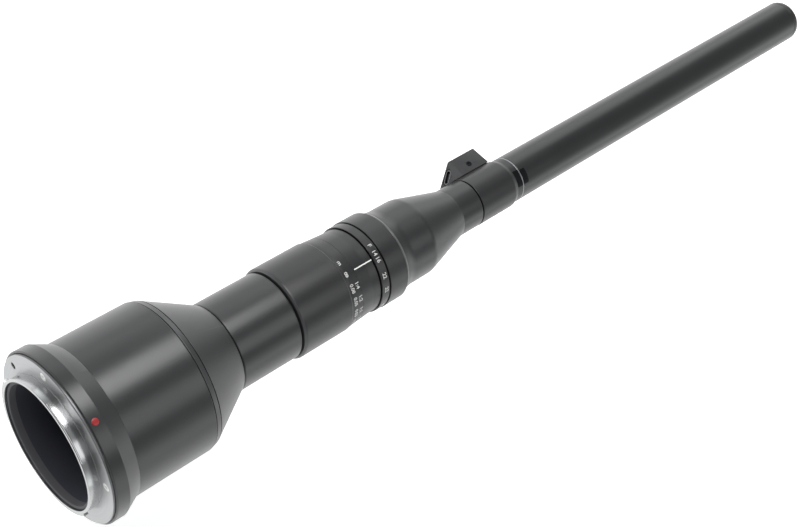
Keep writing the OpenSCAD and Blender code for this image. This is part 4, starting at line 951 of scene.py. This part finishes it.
def enamelDrop(values):
    x = (dotLow.x + dotHigh.x) / 2
    radius = (dotHigh.x - dotLow.x) / 2
    base = outerRadius("mountCollar", x)
    corners, faces = [onShell(x, 0, base + values["dome"] * mm)], []
    for ring in range(1, values["rings"] + 2):
        sunk = ring > values["rings"]
        share = min(1.0, ring / values["rings"])
        bulge = values["dome"] * math.sqrt(1 + values["lip"] - share ** 2)
        height = -values["sink"] if sunk else bulge
        for sector in range(values["sectors"]):
            angle = 2 * math.pi * sector / values["sectors"]
            turn = share * radius * math.sin(angle) / base
            corners.append(onShell(x + share * radius * math.cos(angle), turn, base + height * mm))
    for sector in range(values["sectors"]):
        after = (sector + 1) % values["sectors"]
        faces.append((0, 1 + after, 1 + sector))
        for ring in range(values["rings"]):
            a, b = 1 + ring * values["sectors"], 1 + (ring + 1) * values["sectors"]
            faces.append((a + sector, a + after, b + after, b + sector))
    last = 1 + values["rings"] * values["sectors"]
    faces.append(tuple(range(last, last + values["sectors"])))
    mesh = newMesh("indexDrop", corners, faces)
    mesh.polygons.foreach_set("use_smooth", [len(f) < 5 for f in faces])
    return addPiece("indexDrop", mesh, "root", "red_paint")


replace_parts(enamelDrop(indexDrop), "index_dot")


# Numbers, cut from the built-in font and wrapped round the rings

lettering = {"extrude": 0.5, "curveSteps": 5, "sink": 0.03}


def textMesh(text, thicken):
    curve = bpy.data.curves.new("glyphs", "FONT")
    curve.body = text
    curve.offset = thicken
    curve.extrude = lettering["extrude"]
    curve.resolution_u = lettering["curveSteps"]
    glyphs = newObject("glyphs", curve)
    bpy.context.view_layer.update()
    mesh = bpy.data.meshes.new_from_object(glyphs.evaluated_get(bpy.context.evaluated_depsgraph_get()))
    places = np.array([v.co for v in mesh.vertices])
    faces = [tuple(p.vertices) for p in mesh.polygons]
    bpy.data.objects.remove(glyphs)
    bpy.data.meshes.remove(mesh)
    return places, faces


numberEnamel = dict(whiteEnamel, colour=(0.56, 0.56, 0.54))
numberMaterial = skinFinish("numberEnamel", numberEnamel)
digitHeight = float(np.ptp(textMesh("0", 0.0)[0][:, 1]))


def ringNumbers(name, values, marks, body):
    corners, faces = [], []
    for text, turn, row, grow, quarterTurn in marks:
        places, glyphFaces = textMesh(text, values["thicken"])
        size = grow * values["height"] * mm / digitHeight
        across, up = places[:, 0] * size, places[:, 1] * size
        if quarterTurn:
            across, up = up, -across
        across = across - (across.min() + across.max()) / 2
        up = up - (up.min() + up.max()) / 2
        for a, b, depth in zip(across, up, places[:, 2]):
            x = values["rows"][row] * mm + b
            radius = outerRadius(values["shell"], x)
            lift = values["lift"] * (lettering["extrude"] + depth) - lettering["sink"]
            corners.append(onShell(x, math.radians(turn) + a / radius, radius + lift * mm))
        base = len(corners) - len(places)
        faces += [tuple(base + v for v in face) for face in glyphFaces]
    mesh = newMesh(name, corners, faces)
    mesh.validate()
    mesh.materials.append(numberMaterial)
    return addPiece(name, mesh, body, "white_paint")


distanceNumbers = {"shell": "focusRing", "height": 1.55, "thicken": 0.018, "lift": 0.09,
                   "rows": {"distance": focusFront - 3.75, "ratio": focusFront - 1.05}}
distanceMarks = [  # text, degrees round the ring, row, share of the height, turned a quarter
    ("m", -15.3, "distance", 1.1, False), ("8", 0.5, "distance", 1.35, True),
    ("1:4", 18.5, "ratio", 1.1, False), ("0.08", 18.8, "distance", 1, False),
    ("1:2", 36, "ratio", 1.1, False), ("0.05", 36, "distance", 1, False),
    ("1:1", 53, "ratio", 1.1, False), ("0.03", 53, "distance", 1, False),
    ("2:1", 70.5, "ratio", 1.1, False), ("0.02", 70.5, "distance", 1, False)]
ringNumbers("distanceNumbers", distanceNumbers, distanceMarks, "focus_ring")

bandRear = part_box("aperture_ring")[0].x / mm
apertureNumbers = {"shell": "apertureRing", "height": 1.75, "thicken": 0.018, "lift": 0.09,
                   "rows": {"stop": bandRear + 2.0}}
apertureMarks = [
    ("F", -15.8, "stop", 1, False), ("14", -4.6, "stop", 1, False), ("16", 4.4, "stop", 1, False),
    ("22", 25.3, "stop", 1, False), ("32", 45, "stop", 1, False), ("40", 74, "stop", 1, False)]
ringNumbers("apertureNumbers", apertureNumbers, apertureMarks, "aperture_ring")
print("films, drop and numbers made")


# Studio

floorSheet = {
    "below": 62.0, "half": 6000.0, "colour": (0.9, 0.9, 0.9), "specular": 0.2, "glow": 0.54,
    "roughness": 0.85, "fibreShare": 0.1, "fibreScale": 400.0, "fibreDetail": 4.0}


def makeFloor(values):
    level = cadBox[0].z - values["below"] * mm
    half = values["half"] * mm
    mesh = newMesh("floorSheet", [(-half, -half, level), (half, -half, level), (half, half, level),
                                  (-half, half, level)], [(0, 1, 2, 3)])
    material, tree, shader = startMaterial("floorPaper", {
        "Base Color": (*values["colour"], 1), "Specular IOR Level": values["specular"],
        "Emission Color": (1, 1, 1, 1), "Emission Strength": values["glow"]})
    place = objectPlace(tree)
    fibre = addNode(tree, "ShaderNodeTexNoise", {
        "Vector": place, "Scale": values["fibreScale"], "Detail": values["fibreDetail"]}).outputs[0]
    rough = addMath(tree, "MULTIPLY_ADD", fibre, values["fibreShare"], values["roughness"])
    tree.links.new(rough, shader.inputs["Roughness"])
    mesh.materials.append(material)
    newObject("floorSheet", mesh)


# Fades are angles in degrees, and zenithAlong is a share of the way along the axis
tent = {
    "colour": (0.97, 1.0, 0.995), "horizon": 1.5, "heightFade": (0.0, 32.0), "ends": 0.12,
    "endFade": (0.0, 30.0), "behind": 0.3, "behindFade": (50.0, 140.0),
    "zenith": (0.12, 0.38), "zenithAlong": (-0.2, 0.35)}


def makeTent(values):  # bright side walls ahead of the camera, dark above and behind it
    world = bpy.data.worlds.new("lightTent")
    bpy.context.scene.world = world
    world.use_nodes = True
    tree = world.node_tree
    background = tree.nodes["Background"]
    looking = addNode(tree, "ShaderNodeTexCoord").outputs["Generated"]
    parts = addNode(tree, "ShaderNodeSeparateXYZ", {0: looking}).outputs

    def eased(value, fade, low, high):
        return addNode(tree, "ShaderNodeMapRange", {
            "Value": value, "From Min": fade[0], "From Max": fade[1], "To Min": low, "To Max": high},
            interpolation_type="SMOOTHSTEP").outputs[0]

    def inRadians(fade):
        return [math.radians(angle) for angle in fade]

    height = addMath(tree, "ARCSINE", parts["Z"])
    aside = addMath(tree, "ARCTAN2", addMath(tree, "ABSOLUTE", parts["Y"]), parts["X"])
    low = eased(height, inRadians(values["heightFade"]), values["horizon"], 0.0)
    ends = eased(aside, inRadians(values["endFade"]), values["ends"], 1.0)
    back = eased(aside, inRadians(values["behindFade"]), 1.0, values["behind"])
    zenith = eased(parts["X"], values["zenithAlong"], *values["zenith"])
    walls = addMath(tree, "MULTIPLY", ends, back)
    tree.links.new(addMath(tree, "MULTIPLY_ADD", low, walls, zenith), background.inputs["Strength"])
    background.inputs["Color"].default_value = (*values["colour"], 1)


softboxes = {  # centre and aim in mm, size in mm, power in watts
    "upperBox": {"centre": (90, 440, 760), "aim": (90, 0, 0), "size": (880, 420), "power": 6.2},
    "lowerBox": {"centre": (215, -380, 770), "aim": (215, 0, 0), "size": (1030, 420), "power": 1.9},
    "farBox": {"centre": (800, 780, 450), "aim": (200, 0, 0), "size": (700, 350), "power": 0.75}}


def makeSoftbox(name, values):
    light = bpy.data.lights.new(name, "AREA")
    light.shape = "RECTANGLE"
    light.size, light.size_y = (v * mm for v in values["size"])
    light.energy = values["power"]
    lamp = newObject(name, light)
    lamp.location = Vector(values["centre"]) * mm
    aim = Vector(values["aim"]) * mm - lamp.location
    lamp.rotation_euler = aim.to_track_quat("-Z", "Y").to_euler()


viewpoint = {"place": (-142.985, 12.458, 462.657), "aim": (156.256, -7.602, 0.0), "roll": -63.945,
             "focalLength": 61.7506, "sensor": 36.0, "clip": (0.01, 100.0)}


def makeCamera(values):
    camera = bpy.data.cameras.new("viewpoint")
    camera.lens = values["focalLength"]
    camera.sensor_width = values["sensor"]
    camera.clip_start, camera.clip_end = values["clip"]
    holder = newObject("viewpoint", camera)
    place = Vector(values["place"]) * mm
    forward = (Vector(values["aim"]) * mm - place).normalized()
    level = (Vector((0, 0, 1)) - forward * forward.z).normalized()
    right = forward.cross(level)
    roll = math.radians(values["roll"])
    up = level * math.cos(roll) + right * math.sin(roll)
    turned = Matrix((forward.cross(up), up, -forward)).transposed()
    holder.matrix_world = Matrix.Translation(place) @ turned.to_4x4()
    bpy.context.scene.camera = holder


makeFloor(floorSheet)
makeTent(tent)
for name, values in softboxes.items():
    makeSoftbox(name, values)
makeCamera(viewpoint)
bpy.context.scene.view_settings.view_transform = "Standard"
print("studio ready")

bpy.context.view_layer.update()
